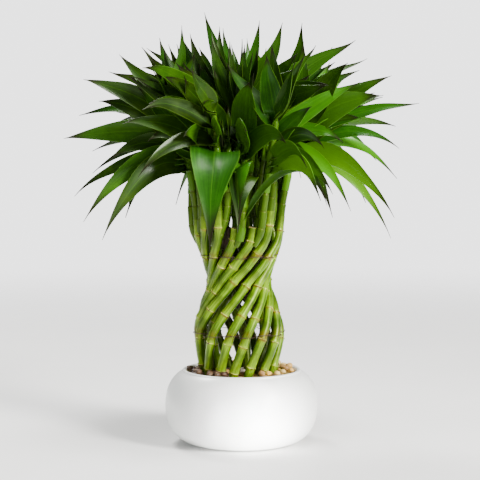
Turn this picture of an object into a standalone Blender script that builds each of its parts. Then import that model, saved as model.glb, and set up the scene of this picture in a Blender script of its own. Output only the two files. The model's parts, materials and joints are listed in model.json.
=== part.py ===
"""A lucky bamboo: fourteen canes twisted into an hourglass, standing in a round bowl of pebbles.

Metres, +Z up. The origin is the middle of the bowl's flat foot, and the plant's front looks along -Y.
Each cane ends in a crown: a green shoot with its long leaves, grown together as one piece.
"""

import math
import random

import bmesh
import bpy
from mathutils import Matrix, Vector
from mathutils.bvhtree import BVHTree

UP = Vector((0, 0, 1))
GAP = 0.0004  # clearance between touching pieces
SLIVERS = (1e-5, 3e-6, 1e-6, 1e-7)  # edges this short are taken out of joined surfaces

# Bowl: a squashed round form, cut open at the rim
BOWL_CORE = 0.050  # radius at which its rounded side begins
BOWL_SIDE = 0.040  # how far the side swells beyond the core
BOWL_WAIST_Z = 0.045  # height of its widest level
BOWL_LIFT = 0.0441  # rise of the side's curve above the widest level
BOWL_SQUARENESS = 2.3  # exponent of the side's curve; 2 would be an ellipse
BOWL_WALL = 0.005
BOWL_FOOT_ANGLE = -80  # degrees below the widest level where the side meets the foot
BOWL_FLOOR_ANGLE = -84  # and where the inner side meets the floor
FOOT_RADIUS = 0.047
RIM_RADIUS = 0.070
LIP_ROUND = 0.0013
BOWL_SEGMENTS = 30

# Pebbles
BED_TOP_Z = 0.0765
BED_CROWN = 0.002  # how much higher the bed is at its middle
LOOSE_PEBBLES = 12
PEBBLE_RING = 0.0562
PEBBLE_FIRST_TURN = 52  # degrees from the front; the front itself stays clear
PEBBLE_LAST_TURN = 308

# Canes: the turn in degrees at the tie, clockwise from the front; and the path that they all follow
CANE_TURNS = (-96, -72, -40, -13, 10, 34, 61, 88, 114, 139, 165, 191, 216, 240)
CANE_PATH = (  # height, ring radius, turn relative to the lower tie in degrees
    (0.012, 0.0345, -40),
    (0.083, 0.0405, -19),
    (0.131, 0.0482, 0),
    (0.162, 0.0412, 24),
    (0.190, 0.0328, 55),
    (0.213, 0.0372, 90),
    (0.240, 0.0465, 112),
    (0.285, 0.0520, 117),
    (0.330, 0.0600, 120),
    (0.400, 0.0720, 122),
)
RING_OFFSET = Vector((-0.003, 0, 0))  # the bundle stands a little off the bowl's middle
CANE_RADIUS = 0.0046
RADIUS_SPREAD = 0.03  # canes differ in thickness by up to this share
NODE_SWELL = 1.09  # a cane is this much thicker at its rings
TOP_SWELL = 0.94  # and this much thinner at its top end
CANE_RINGS = 8
RING_SHIFT = 0.004  # so that neighbours' rings don't line up
CANE_TOP_Z = 0.270
TOP_SPREAD = 0.006  # cane tops differ in height by up to this much
CUT_CANES = (0, 4, 9, 13)  # these end in a cut stub, with their shoot growing beside it
CUT_TOP_Z = 0.257
SIDE_SHOOT_Z = 0.236  # where the shoot beside a stub begins

# Tie wires: two strands at each tie, woven in and out between the canes
TIE_HEIGHTS = {"lower": 0.131, "upper": 0.2215}
WIRE_RADIUS = 0.0006
WIRE_STAGGER = 0.0022  # height between a tie's two strands
WIRE_SWING = 1.65  # between two canes a strand swings wider by this factor, to clear their sides
STEPS_PER_CANE = 3

# Crowns
SHOOT_RADII = (0.0045, 0.0044, 0.0042, 0.0038, 0.0032, 0.0025, 0.0015)
SHOOT_TOP_Z = 0.376
SHOOT_SPREAD = 0.010  # shoot tops differ in height by up to this much
SHOOT_GAP = 0.0020  # between a cane's end and its shoot's, which aren't quite parallel
OUTWARD_LEAN = 0.004
INWARD_LEAN = -0.054
LEAN_POWER = 2.6  # the lean comes late, near the shoot's top
JOINTS = [0.36 + 0.057 * n for n in range(12)]  # where leaves may start, as shares of the shoot's length
LEAF_THICKNESS = 0.0009
LEAF_FOLD = 0.20  # rise of the edges over the midrib, as a share of the half width
PETIOLE_SHARE = 0.17
LEAF_SWELL_POWER = 1.1  # how slowly the blade widens from its base
LEAF_TAPER_POWER = 1.4  # how finely it tapers to its point
LEAF_OUTLINE_PEAK = 0.18  # greatest value of the outline that these two powers give
LEAF_RISE = 0.24  # a leaf leaves its shoot upwards for this share of its chord
LEAF_CREST = 0.62  # share of the chord at which its arch is highest
ROLL_SHARE = 0.3  # share of its length over which it turns to its roll
LEAF_STATIONS = (0.0, 0.2, 0.46, 0.74)
BLADE_FACES = (  # between a station's corners 0 to 3 and the next one's 4 to 7
    (0, 1, 5),
    (0, 5, 4),
    (1, 2, 5),
    (2, 6, 5),
    (2, 3, 7),
    (2, 7, 6),
    (3, 0, 7),
    (0, 4, 7),
)
LEAF_CLEARANCE = 0.0008
LOWEST_TIP_Z = 0.22  # leaves with their tips here start at the lowest joints
TIP_RANGE = 0.28  # and those this much higher at the highest
CROWN_REACH = 0.35  # a leaf's best crown stands at this share of its tip's distance from the middle
CROWDING = 0.006  # each leaf that a crown has makes it seem this much further away
CROWNS_TRIED = 4
NARROWINGS = (1, 0.8)
NUDGES = [Vector((0, 0))] + [
    Vector((math.cos(turn), math.sin(turn))) * reach
    for reach in (0.007, 0.014, 0.022, 0.032)
    for turn in (math.radians(45 * step) for step in range(8))
]

# Leaves set by hand on the front and sides: tip x, y, z, arch and width in millimetres, roll in degrees
SET_LEAVES = (
    # front
    (-42, -118, 243, 96, 40, -6),
    (0, -104, 276, 84, 30, 4),
    (9, -92, 420, 20, 38, 0),
    (62, -74, 440, 12, 34, 30),
    (-84, -86, 430, 22, 30, -40),
    (74, -134, 330, 46, 26, 20),
    (-112, -112, 392, 30, 22, -40),
    (100, -100, 414, 24, 32, 40),
    (-43, -98, 404, 24, 34, -30),
    # left side, from level leaves up to the steep ones
    (-205, -20, 358, 22, 36, -70),
    (-194, 25, 391, 30, 20, -8),
    (-181, -45, 423, 22, 32, -50),
    (-153, 0, 440, 8, 29, -60),
    (-138, -50, 452, 10, 27, -40),
    (-112, 55, 467, 8, 23, -35),
    (-112, -105, 441, 36, 31, -28),
    (-73, 60, 469, 0, 19, 0),
    # left side, hanging
    (-180, -60, 264, 62, 31, -52),
    (-193, 10, 287, 50, 22, -25),
    (-180, 70, 314, 42, 19, -15),
    (-184, 112, 340, 30, 20, -10),
    (-155, -74, 244, 72, 35, -60),
    (-115, -112, 317, 45, 20, -30),
    # right side, from steep leaves down to the level ones
    (130, 15, 478, 8, 33, 50),
    (121, -72, 447, 18, 35, 48),
    (149, 62, 459, 8, 17, 12),
    (170, -42, 430, 14, 28, 60),
    (203, -30, 404, 12, 19, 12),
    (173, 92, 403, 14, 17, 10),
    (183, -22, 348, 42, 19, 12),
    (186, 25, 313, 58, 19, 14),
    # right side, hanging
    (169, -72, 267, 78, 30, 38),
    (170, -18, 241, 92, 24, 32),
    (125, -82, 279, 66, 22, 30),
    (91, -128, 293, 62, 30, 22),
    (93, -92, 283, 62, 21, 16),
    # top
    (-43, 30, 507, 0, 25, -8),
    (-31, -6, 484, 0, 27, 0),
    (-18, 72, 489, 0, 21, 0),
    (-10, 35, 468, 0, 18, 0),
    (-2, -30, 472, 0, 20, 0),
    (10, 62, 480, 0, 18, 0),
    (23, 18, 495, 0, 18, 0),
    (37, -12, 477, 0, 20, 0),
    (51, -34, 490, 0, 27, 5),
    (73, 12, 490, 0, 24, 8),
    (87, 62, 463, 4, 18, 0),
    (98, 38, 452, 4, 20, 0),
)
# Leaves set by rule: their tips lie on flattened domes, wherever no other tip is near
DOME_CENTRE = Vector((0, 0, 0.345))
DOMES = (  # places tried, radius, rise, lowest and highest sine of elevation, spacing, front limit
    (130, 0.186, 0.140, -0.62, 0.93, 0.042, -0.005),
    (60, 0.090, 0.120, 0.45, 0.99, 0.032, -1.0),
    (60, 0.128, 0.105, 0.00, 0.75, 0.034, -1.0),
    (36, 0.135, 0.095, -0.75, 0.00, 0.042, 0.000),
)
DOME_LEVEL = 0.55  # sine of elevation below which their leaves arch over
DOME_ARCH = 0.075
DOME_WIDTHS = (0.022, 0.036)


def new_material(name, colour, roughness):
    """A plain surface: a Principled shader with its colour and roughness."""
    material = bpy.data.materials.new(name)
    material.use_nodes = True
    shader = material.node_tree.nodes["Principled BSDF"]
    shader.inputs["Base Color"].default_value = (*colour, 1)
    shader.inputs["Roughness"].default_value = roughness
    shader.inputs["Metallic"].default_value = 0
    return material


def add_object(name, mesh, material):
    made = bpy.data.objects.new(name, mesh)
    bpy.context.scene.collection.objects.link(made)
    mesh.materials.append(material)
    return made


def shade_round(mesh, angle=40):
    mesh.shade_smooth()
    mesh.set_sharp_from_angle(angle=math.radians(angle))


def tube(name, line, radii, material, resolution, cyclic=False):
    """A round rod along a line of points, as a mesh; resolution 0, 1 and 2 give 4, 6 and 8 sides."""
    curve = bpy.data.curves.new(name, "CURVE")
    curve.dimensions = "3D"
    curve.bevel_depth = 1
    curve.bevel_resolution = resolution
    curve.use_fill_caps = True
    spline = curve.splines.new("POLY")
    spline.points.add(len(line) - 1)
    for point, place, radius in zip(spline.points, line, radii):
        point.co = (*place, 1)
        point.radius = radius
    spline.use_cyclic_u = cyclic
    guide = bpy.data.objects.new(name, curve)
    mesh = bpy.data.meshes.new_from_object(guide)
    bpy.data.objects.remove(guide)
    bpy.data.curves.remove(curve)
    work = bmesh.new()
    work.from_mesh(mesh)
    bmesh.ops.remove_doubles(work, verts=work.verts, dist=1e-6)
    bmesh.ops.recalc_face_normals(work, faces=work.faces)
    work.to_mesh(mesh)
    work.free()
    mesh.name = name
    shade_round(mesh)
    return add_object(name, mesh, material)


def turned(name, outline, material):
    """A solid of revolution about Z, from an outline of (radius, height) that starts and ends on the axis."""
    work = bmesh.new()
    corners = [work.verts.new((radius, 0, height)) for radius, height in outline]
    edges = [work.edges.new(pair) for pair in zip(corners, corners[1:])]
    bmesh.ops.spin(
        work,
        geom=corners + edges,
        axis=UP,
        cent=(0, 0, 0),
        angle=math.tau,
        steps=BOWL_SEGMENTS,
        use_merge=True,
    )
    bmesh.ops.remove_doubles(work, verts=work.verts, dist=1e-5)
    bmesh.ops.recalc_face_normals(work, faces=work.faces)
    mesh = bpy.data.meshes.new(name)
    work.to_mesh(mesh)
    work.free()
    shade_round(mesh)
    return add_object(name, mesh, material)


def combine(target, others, operation, solver="EXACT"):
    """Cuts or joins other objects with the target for good, and removes them."""
    group = bpy.data.collections.new("tools")
    for other in others:
        group.objects.link(other)
    modifier = target.modifiers.new("combine", "BOOLEAN")
    modifier.operation = operation
    modifier.solver = solver
    modifier.operand_type = "COLLECTION"
    modifier.collection = group
    bpy.context.view_layer.update()
    graph = bpy.context.evaluated_depsgraph_get()
    mesh = bpy.data.meshes.new_from_object(target.evaluated_get(graph))
    target.modifiers.remove(modifier)
    mesh.name = target.name
    target.data = mesh
    for other in others:
        bpy.data.objects.remove(other)
    bpy.data.collections.remove(group)


# ---- Bowl and pebbles ----


def side_radius(angle, inset):
    """Radius and height of the bowl's side at an angle from its widest level, moved in by inset."""
    power = 2 / BOWL_SQUARENESS
    rise = BOWL_LIFT if angle > 0 else BOWL_WAIST_Z
    across = abs(math.cos(angle)) ** power
    along = math.copysign(abs(math.sin(angle)) ** power, angle)
    return (
        BOWL_CORE + (BOWL_SIDE - inset) * across,
        BOWL_WAIST_Z + (rise - inset) * along,
    )


def rim_angle(radius, inset):
    """The angle at which the side's curve has come in to this radius."""
    across = (radius - BOWL_CORE) / (BOWL_SIDE - inset)
    return math.acos(across ** (BOWL_SQUARENESS / 2))


def side_curve(inset, start, end, steps):
    return [
        side_radius(start + (end - start) * step / steps, inset)
        for step in range(steps + 1)
    ]


def inner_side():
    """The bowl's inner side, from the rim down to its floor."""
    inner_rim = rim_angle(RIM_RADIUS - BOWL_WALL, BOWL_WALL)
    return side_curve(BOWL_WALL, inner_rim, math.radians(BOWL_FLOOR_ANGLE), 6)


def make_bowl(material):
    outer = side_curve(0, math.radians(BOWL_FOOT_ANGLE), rim_angle(RIM_RADIUS, 0), 8)
    rim_z = outer[-1][1]
    lip = [
        (RIM_RADIUS - LIP_ROUND, rim_z + LIP_ROUND),
        (RIM_RADIUS - BOWL_WALL + LIP_ROUND, rim_z + LIP_ROUND),
    ]
    outline = [(0, 0), (FOOT_RADIUS, 0)] + outer + lip + inner_side() + [(0, BOWL_WALL)]
    return turned("bowl", outline, material)


def make_pebble_bed(canes, material):
    """The packed pebbles that hold the canes, with a socket for each cane."""
    wall = inner_side()
    reached = next(n for n, point in enumerate(wall) if point[1] < BED_TOP_Z)
    above, below = wall[reached - 1], wall[reached]
    share = (BED_TOP_Z - below[1]) / (above[1] - below[1])
    edge = (below[0] + (above[0] - below[0]) * share, BED_TOP_Z)
    side = [
        (radius - GAP, height - math.copysign(GAP, height - BOWL_WAIST_Z))
        for radius, height in [edge] + wall[reached:]
    ]
    outline = [(0, BED_TOP_Z + BED_CROWN)] + side + [(0, BOWL_WALL + GAP)]
    bed = turned("pebble_bed", outline, material)
    sockets = []
    for cane in canes:
        line = [p for p in cane["line"] if p.z < BED_TOP_Z + 0.03]
        line[0] = line[0] - UP * GAP
        radius = cane["radius"] * NODE_SWELL + GAP
        sockets.append(tube("socket", line, [radius] * len(line), material, 2))
    combine(bed, sockets, "DIFFERENCE")
    return bed


def make_loose_pebbles(material):
    """Pebbles lying on the bed between the canes and the rim."""
    chance = random.Random(4)
    sweep = PEBBLE_LAST_TURN - PEBBLE_FIRST_TURN
    for number in range(LOOSE_PEBBLES):
        turn = math.radians(PEBBLE_FIRST_TURN + number * sweep / (LOOSE_PEBBLES - 1))
        half = Vector(
            (
                chance.uniform(0.0052, 0.0062),
                chance.uniform(0.0042, 0.0050),
                chance.uniform(0.0032, 0.0040),
            )
        )
        work = bmesh.new()
        bmesh.ops.create_icosphere(work, subdivisions=2, radius=1)
        for corner in work.verts:
            corner.co *= 1 + chance.uniform(-0.05, 0.05)
            corner.co = Vector(a * b for a, b in zip(corner.co, half))
        mesh = bpy.data.meshes.new("pebble")
        work.to_mesh(mesh)
        work.free()
        mesh.shade_smooth()
        pebble = add_object(f"pebble_{number + 1:02d}", mesh, material)
        pebble.location = (
            PEBBLE_RING * math.sin(turn),
            -PEBBLE_RING * math.cos(turn),
            BED_TOP_Z + half.z * 1.05 + BED_CROWN / 2 + GAP,
        )
        pebble.rotation_euler = (0, 0, turn + math.radians(90) + chance.uniform(-0.4, 0.4))


# ---- Canes and ties ----


def blended(before, start, end, after, share):
    """A smooth curve's value between start and end, given the values on either side."""
    return 0.5 * (
        2 * start
        + (end - before) * share
        + (2 * before - 5 * start + 4 * end - after) * share**2
        + (3 * start - before - 3 * end + after) * share**3
    )


def path_at(height):
    """Ring radius and turn, in radians from the tie, of the canes' common path at a height."""
    last = len(CANE_PATH) - 1
    step = next(
        (n for n in range(last) if height <= CANE_PATH[n + 1][0]),
        last - 1,
    )
    low, high = CANE_PATH[step], CANE_PATH[step + 1]
    before, after = CANE_PATH[max(step - 1, 0)], CANE_PATH[min(step + 2, last)]
    share = (height - low[0]) / (high[0] - low[0])
    radius, turn = (
        blended(before[k], low[k], high[k], after[k], share) for k in (1, 2)
    )
    return radius, math.radians(turn)


def ring_point(height, start_turn, outward=0.0, sideways=0.0):
    """A point at a height on the path of the cane that starts at a turn, moved outward and round the ring."""
    radius, turn = path_at(height)
    turn += start_turn + sideways / radius
    radius += outward
    return RING_OFFSET + Vector((radius * math.sin(turn), -radius * math.cos(turn), height))


def plan_canes():
    """Each cane's turn, radius, height and line of points: its rings and the middles between them."""
    canes = []
    for number, degrees in enumerate(CANE_TURNS):
        turn = math.radians(degrees)
        radius = CANE_RADIUS * (1 + RADIUS_SPREAD * math.sin(2.4 * number))
        top = CUT_TOP_Z if number in CUT_CANES else CANE_TOP_Z
        top += TOP_SPREAD * math.sin(1.7 * number)
        bottom = CANE_PATH[0][0]
        steps = 2 * CANE_RINGS
        shift = RING_SHIFT * math.sin(3.1 * number)
        heights = [bottom + (top - bottom) * n / steps for n in range(steps + 1)]
        heights[1:-1] = [height + shift for height in heights[1:-1]]
        line = [ring_point(height, turn) for height in heights]
        canes.append({"turn": turn, "radius": radius, "top": top, "line": line})
    return canes


def make_cane(number, cane, material):
    swell = [NODE_SWELL if n % 2 else 1 for n in range(len(cane["line"]))]
    swell[-1] = TOP_SWELL
    radii = [cane["radius"] * share for share in swell]
    return tube(f"cane_{number + 1:02d}", cane["line"], radii, material, 2)


def make_tie(name, height, phase, material):
    """A wire strand that runs outside one cane and inside the next, all the way round."""
    line = []
    count = len(CANE_TURNS)
    ring_radius, twist = path_at(height)
    reach = CANE_RADIUS * NODE_SWELL + WIRE_RADIUS + 2 * GAP
    for number in range(count):
        here = CANE_TURNS[number]
        following = CANE_TURNS[(number + 1) % count]
        step = (following - here) % 360
        for part in range(STEPS_PER_CANE):
            share = part / STEPS_PER_CANE
            weave = math.cos(math.pi * (number + share + phase))
            turn = math.radians(here + step * share) + twist
            radius = ring_radius + reach * (WIRE_SWING if part else 1) * weave
            line.append(
                RING_OFFSET + Vector((radius * math.sin(turn), -radius * math.cos(turn), height))
            )
    return tube(name, line, [WIRE_RADIUS] * len(line), material, 0, cyclic=True)


# ---- Crowns ----


def plan_shoot(number, cane):
    """The line of a shoot from its cane's end to its top; every other one leans in to fill the middle."""
    lean = INWARD_LEAN if number % 2 else OUTWARD_LEAN
    beside = 0.0
    bottom = cane["top"] + SHOOT_GAP
    if number in CUT_CANES:  # aside and outward by the same amount
        beside = (cane["radius"] * NODE_SWELL + SHOOT_RADII[0] + 2 * GAP) * math.sqrt(0.5)
        bottom = SIDE_SHOOT_Z
    top = SHOOT_TOP_Z + SHOOT_SPREAD * math.sin(2.2 * number)
    steps = len(SHOOT_RADII) - 1
    line = []
    for n in range(steps + 1):
        share = n / steps
        height = bottom + (top - bottom) * share
        outward = beside + lean * share**LEAN_POWER
        line.append(ring_point(height, cane["turn"], outward, beside))
    return line


def along(line, share):
    """The point and direction at a share of a line's points."""
    place = min(share, 0.9999) * (len(line) - 1)
    step = int(place)
    start, end = line[step], line[step + 1]
    return start.lerp(end, place - step), (end - start).normalized()


def leaf_width(share):
    """Half width at a share of the leaf's length, as a part of its greatest: narrow stalk, long point."""
    blade = share**LEAF_SWELL_POWER * (1 - share) ** LEAF_TAPER_POWER / LEAF_OUTLINE_PEAK
    return max(PETIOLE_SHARE * (1 - share), blade)


def leaf_frames(leaf):
    """Points down the leaf's midrib, each with the direction across its blade and the blade's normal."""
    base, rising = along(leaf["shoot"], leaf["joint"])
    chord = leaf["tip"] - base
    pull = base + rising * (chord.length * LEAF_RISE)
    crest = base + chord * LEAF_CREST + UP * leaf["arch"]
    heading = Vector((chord.x, chord.y, 0))
    if heading.length < 0.02:
        heading = Vector((base.x, base.y, 0))
    across = UP.cross(heading.normalized())
    frames = []
    for share in (*LEAF_STATIONS, 1.0):
        rest = 1 - share
        place = (
            base * rest**3
            + pull * (3 * rest**2 * share)
            + crest * (3 * rest * share**2)
            + leaf["tip"] * share**3
        )
        forward = (
            (pull - base) * rest**2
            + (crest - pull) * (2 * rest * share)
            + (leaf["tip"] - crest) * share**2
        ).normalized()
        roll = leaf["roll"] * min(1, share / ROLL_SHARE)
        side = Matrix.Rotation(roll, 3, forward) @ (
            across - forward * across.dot(forward)
        ).normalized()
        frames.append((share, place, side, forward.cross(side)))
    return frames


def leaf_shell(leaf, margin=0.0, skipped=0):
    """Corners and faces of a folded blade with a thin diamond section, grown all over by a margin.

    The first stations can be skipped, which leaves the blade without its stalk.
    """
    corners = []
    frames = leaf_frames(leaf)[skipped:]
    half = LEAF_THICKNESS / 2 + margin
    for share, place, side, normal in frames[:-1]:
        reach = leaf["width"] / 2 * leaf_width(share) + margin
        edge = normal * (reach * LEAF_FOLD)
        corners += [
            place + side * reach + edge,
            place + normal * half,
            place - side * reach + edge,
            place - normal * half,
        ]
    corners.append(leaf["tip"] + (leaf["tip"] - frames[-2][1]).normalized() * margin)
    last = 4 * (len(frames) - 2)
    faces = [(2, 1, 0), (3, 2, 0)]
    for ring in range(0, last, 4):  # both sides of the blade are split alike, so that they can't cross
        faces += [tuple(ring + corner for corner in face) for face in BLADE_FACES]
    faces += [(last + n, last + (n + 1) % 4, last + 4) for n in range(4)]
    return corners, faces


def standing_piece(owner, mesh):
    """A piece's owner, tree of faces and box, for the leaves to keep clear of."""
    corners = [corner.co for corner in mesh.vertices]
    faces = [tuple(face.vertices) for face in mesh.polygons]
    return owner, BVHTree.FromPolygons(corners, faces), box_of(corners)


def wanted_leaves():
    """Every leaf to be tried: its tip, arch, width and roll. The set ones come first."""
    wanted = [
        {
            "tip": Vector((x, y, z)) / 1000,
            "arch": arch / 1000,
            "width": width / 1000,
            "roll": math.radians(roll),
        }
        for x, y, z, arch, width, roll in SET_LEAVES
    ]
    chance = random.Random(11)
    golden = math.pi * (3 - math.sqrt(5))
    for places, radius, rise, lowest, highest, spacing, front in DOMES:
        for number in range(places):
            climb = lowest + (highest - lowest) * (number + 0.5) / places
            turn = golden * number
            flat = radius * math.sqrt(1 - climb**2) * chance.uniform(0.92, 1.04)
            height = rise * climb * chance.uniform(0.94, 1.04)
            side = Vector((flat * math.sin(turn), flat * math.cos(turn), height))
            leaf = {
                "tip": DOME_CENTRE + side,
                "arch": max(0, DOME_LEVEL - climb) * DOME_ARCH + chance.uniform(0, 0.012),
                "width": chance.uniform(*DOME_WIDTHS),
                "roll": math.radians(chance.uniform(-45, 45)),
            }
            crowded = any((leaf["tip"] - other["tip"]).length < spacing for other in wanted)
            if side.y > front and not crowded:
                wanted.append(leaf)
    return wanted


def nearest_crowns(leaf, shoots, free):
    """The shoots that stand best for this leaf, best first, of those with a free joint."""
    aim = leaf["tip"] * CROWN_REACH

    def cost(number):
        top = along(shoots[number], 0.8)[0]
        taken = len(JOINTS) - len(free[number])
        return math.hypot(top.x - aim.x, top.y - aim.y) + CROWDING * taken

    return sorted((n for n in range(len(shoots)) if free[n]), key=cost)[:CROWNS_TRIED]


def placements(leaf, shoots, free):
    """Ways to place a leaf, in order of preference: each is its crown and the leaf as it would stand."""
    climb = (leaf["tip"].z - LOWEST_TIP_Z) / TIP_RANGE
    best = JOINTS[0] + (JOINTS[-1] - JOINTS[0]) * climb
    outward = Vector((leaf["tip"].x, leaf["tip"].y, 0)).normalized()
    across = UP.cross(outward)
    for narrowing in NARROWINGS:
        for crown in nearest_crowns(leaf, shoots, free):
            joint = min(free[crown], key=lambda joint: abs(joint - best))
            for nudge in NUDGES:
                placed = dict(leaf)
                placed["shoot"] = shoots[crown]
                placed["joint"] = joint
                placed["width"] = leaf["width"] * narrowing
                placed["tip"] = leaf["tip"] + across * nudge.x + UP * nudge.y
                yield crown, placed


def box_of(corners):
    low = [min(corner[k] for corner in corners) for k in range(3)]
    high = [max(corner[k] for corner in corners) for k in range(3)]
    return low, high


def apart(first, second):
    return any(first[0][k] > second[1][k] or second[0][k] > first[1][k] for k in range(3))


def grow_leaves(shoots, blocked):
    """Places the leaves one by one, each where it touches no other crown nor its own crown's blades.

    blocked holds, for each piece that stands already, its crown's number, its tree of faces and its box.
    A leaf with no room anywhere is left out.
    """
    grown = [[] for _ in shoots]
    blades = [[] for _ in shoots]
    free = [list(JOINTS) for _ in shoots]
    for leaf in wanted_leaves():
        for crown, placed in placements(leaf, shoots, free):
            corners, faces = leaf_shell(placed, LEAF_CLEARANCE)
            whole, box = BVHTree.FromPolygons(corners, faces), box_of(corners)
            if any(
                owner != crown and not apart(box, other_box) and whole.overlap(other)
                for owner, other, other_box in blocked
            ):
                continue
            blade = BVHTree.FromPolygons(*leaf_shell(placed, LEAF_CLEARANCE, 1))
            if any(blade.overlap(other) for other in blades[crown]):
                continue
            blocked.append((crown, whole, box))
            blades[crown].append(blade)
            grown[crown].append(placed)
            free[crown].remove(placed["joint"])
            break
    return grown


def keep_outer_skin(mesh):
    """Fills small hollows shut in between grown-together blades: only the largest skin stays."""
    work = bmesh.new()
    work.from_mesh(mesh)
    waiting = set(work.faces)
    skins = []
    while waiting:
        front = [waiting.pop()]
        skin = list(front)
        while front:
            for edge in front.pop().edges:
                for face in edge.link_faces:
                    if face in waiting:
                        waiting.discard(face)
                        front.append(face)
                        skin.append(face)
        skins.append(skin)
    skins.sort(key=len)
    for skin in skins[:-1]:
        bmesh.ops.delete(work, geom=skin, context="FACES")
    for sliver in SLIVERS:  # the largest that leaves the skin closed
        trimmed = work.copy()
        bmesh.ops.dissolve_degenerate(trimmed, dist=sliver, edges=trimmed.edges)
        bmesh.ops.triangulate(trimmed, faces=trimmed.faces)
        closed = all(edge.is_manifold for edge in trimmed.edges)
        if closed:
            trimmed.to_mesh(mesh)
        trimmed.free()
        if closed:
            break
    work.free()


def make_crown(shoot, leaves, material):
    """Joins the leaves to their shoot as one solid."""
    blades = []
    for leaf in leaves:
        corners, faces = leaf_shell(leaf)
        mesh = bpy.data.meshes.new("leaf")
        mesh.from_pydata(corners, [], faces)
        blades.append(add_object("leaf", mesh, material))
    combine(shoot, blades, "UNION", "MANIFOLD")  # EXACT pinches the thin stalks' edges together
    keep_outer_skin(shoot.data)
    shade_round(shoot.data, 30)


def main():
    for old in list(bpy.data.objects):
        bpy.data.objects.remove(old)
    glaze = new_material("white_glaze", (0.82, 0.83, 0.80), 0.38)
    stone = new_material("pebble_stone", (0.52, 0.42, 0.29), 0.75)
    skin = new_material("cane_skin", (0.22, 0.36, 0.05), 0.42)
    blade = new_material("leaf_blade", (0.05, 0.16, 0.02), 0.38)
    coat = new_material("wire_coat", (0.10, 0.06, 0.03), 0.6)

    make_bowl(glaze)
    canes = plan_canes()
    standing = [
        standing_piece(number, make_cane(number, cane, skin).data)
        for number, cane in enumerate(canes)
    ]
    make_pebble_bed(canes, stone)
    make_loose_pebbles(stone)
    for level, height in TIE_HEIGHTS.items():
        for phase, strand in enumerate(("a", "b")):
            shifted = height + (phase - 0.5) * WIRE_STAGGER
            make_tie(f"{level}_tie_wire_{strand}", shifted, phase, coat)

    lines = [plan_shoot(number, cane) for number, cane in enumerate(canes)]
    shoots = []
    for number, line in enumerate(lines):
        shoot = tube(f"crown_{number + 1:02d}", line, SHOOT_RADII, blade, 1)
        shoots.append(shoot)
        standing.append(standing_piece(number, shoot.data))
    for shoot, leaves in zip(shoots, grow_leaves(lines, standing)):
        make_crown(shoot, leaves, blade)


main()
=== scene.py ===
"""The finished lucky bamboo: glazed bowl, river pebbles, ringed canes, tie wire, sheathed shoots and leaves.

Each piece stands where its CAD node stands. The plan of the canes, shoots and leaves is the
construction's own.
"""

import json
import math
import random

import bpy
from mathutils import Matrix, Vector
from mathutils.kdtree import KDTree

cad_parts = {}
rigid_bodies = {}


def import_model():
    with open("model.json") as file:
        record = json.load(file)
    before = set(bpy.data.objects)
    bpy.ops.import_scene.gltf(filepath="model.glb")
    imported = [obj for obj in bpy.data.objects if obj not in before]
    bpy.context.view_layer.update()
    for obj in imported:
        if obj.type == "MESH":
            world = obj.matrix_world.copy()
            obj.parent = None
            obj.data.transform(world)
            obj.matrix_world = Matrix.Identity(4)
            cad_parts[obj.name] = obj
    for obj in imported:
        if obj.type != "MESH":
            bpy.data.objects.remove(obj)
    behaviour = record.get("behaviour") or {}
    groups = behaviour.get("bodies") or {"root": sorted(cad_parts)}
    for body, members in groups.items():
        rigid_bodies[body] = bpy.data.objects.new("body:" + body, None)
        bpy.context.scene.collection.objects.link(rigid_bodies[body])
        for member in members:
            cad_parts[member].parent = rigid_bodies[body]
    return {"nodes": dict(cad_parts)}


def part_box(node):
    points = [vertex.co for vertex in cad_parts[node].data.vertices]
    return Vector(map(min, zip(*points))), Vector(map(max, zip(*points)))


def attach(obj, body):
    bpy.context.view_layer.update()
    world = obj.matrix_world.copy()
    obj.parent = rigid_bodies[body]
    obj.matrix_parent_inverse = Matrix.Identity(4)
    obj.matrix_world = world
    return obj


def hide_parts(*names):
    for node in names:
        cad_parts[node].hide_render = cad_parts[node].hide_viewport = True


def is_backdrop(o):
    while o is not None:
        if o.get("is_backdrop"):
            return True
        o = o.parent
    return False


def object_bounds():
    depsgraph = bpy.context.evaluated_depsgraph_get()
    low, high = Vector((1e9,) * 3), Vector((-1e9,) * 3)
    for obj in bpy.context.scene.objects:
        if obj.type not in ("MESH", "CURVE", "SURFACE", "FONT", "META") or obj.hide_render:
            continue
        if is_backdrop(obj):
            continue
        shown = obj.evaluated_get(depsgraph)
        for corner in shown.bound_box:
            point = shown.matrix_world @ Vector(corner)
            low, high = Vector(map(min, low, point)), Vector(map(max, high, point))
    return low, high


UP = Vector((0, 0, 1))

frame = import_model()
cad_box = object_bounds()

# ---- The construction's plan ----

# Canes: turn in degrees at the lower tie, clockwise from the front
CANE_TURNS = (-96, -72, -40, -13, 10, 34, 61, 88, 114, 139, 165, 191, 216, 240)
CANE_PATH = (  # height, ring radius, turn relative to the lower tie in degrees
    (0.012, 0.0345, -40),
    (0.083, 0.0405, -19),
    (0.131, 0.0482, 0),
    (0.162, 0.0412, 24),
    (0.190, 0.0328, 55),
    (0.213, 0.0372, 90),
    (0.240, 0.0465, 112),
    (0.285, 0.0520, 117),
    (0.330, 0.0600, 120),
    (0.400, 0.0720, 122),
)
RING_OFFSET = Vector((-0.003, 0, 0))
CANE_RADIUS = 0.0046
NODE_SWELL = 1.09
CANE_TOP_Z = 0.270
CUT_CANES = (0, 4, 9, 13)
CUT_TOP_Z = 0.257
SIDE_SHOOT_Z = 0.236

TIE_HEIGHTS = {"lower": 0.131, "upper": 0.2215}
WIRE_STAGGER = 0.0022  # height between a level's two strands

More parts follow.
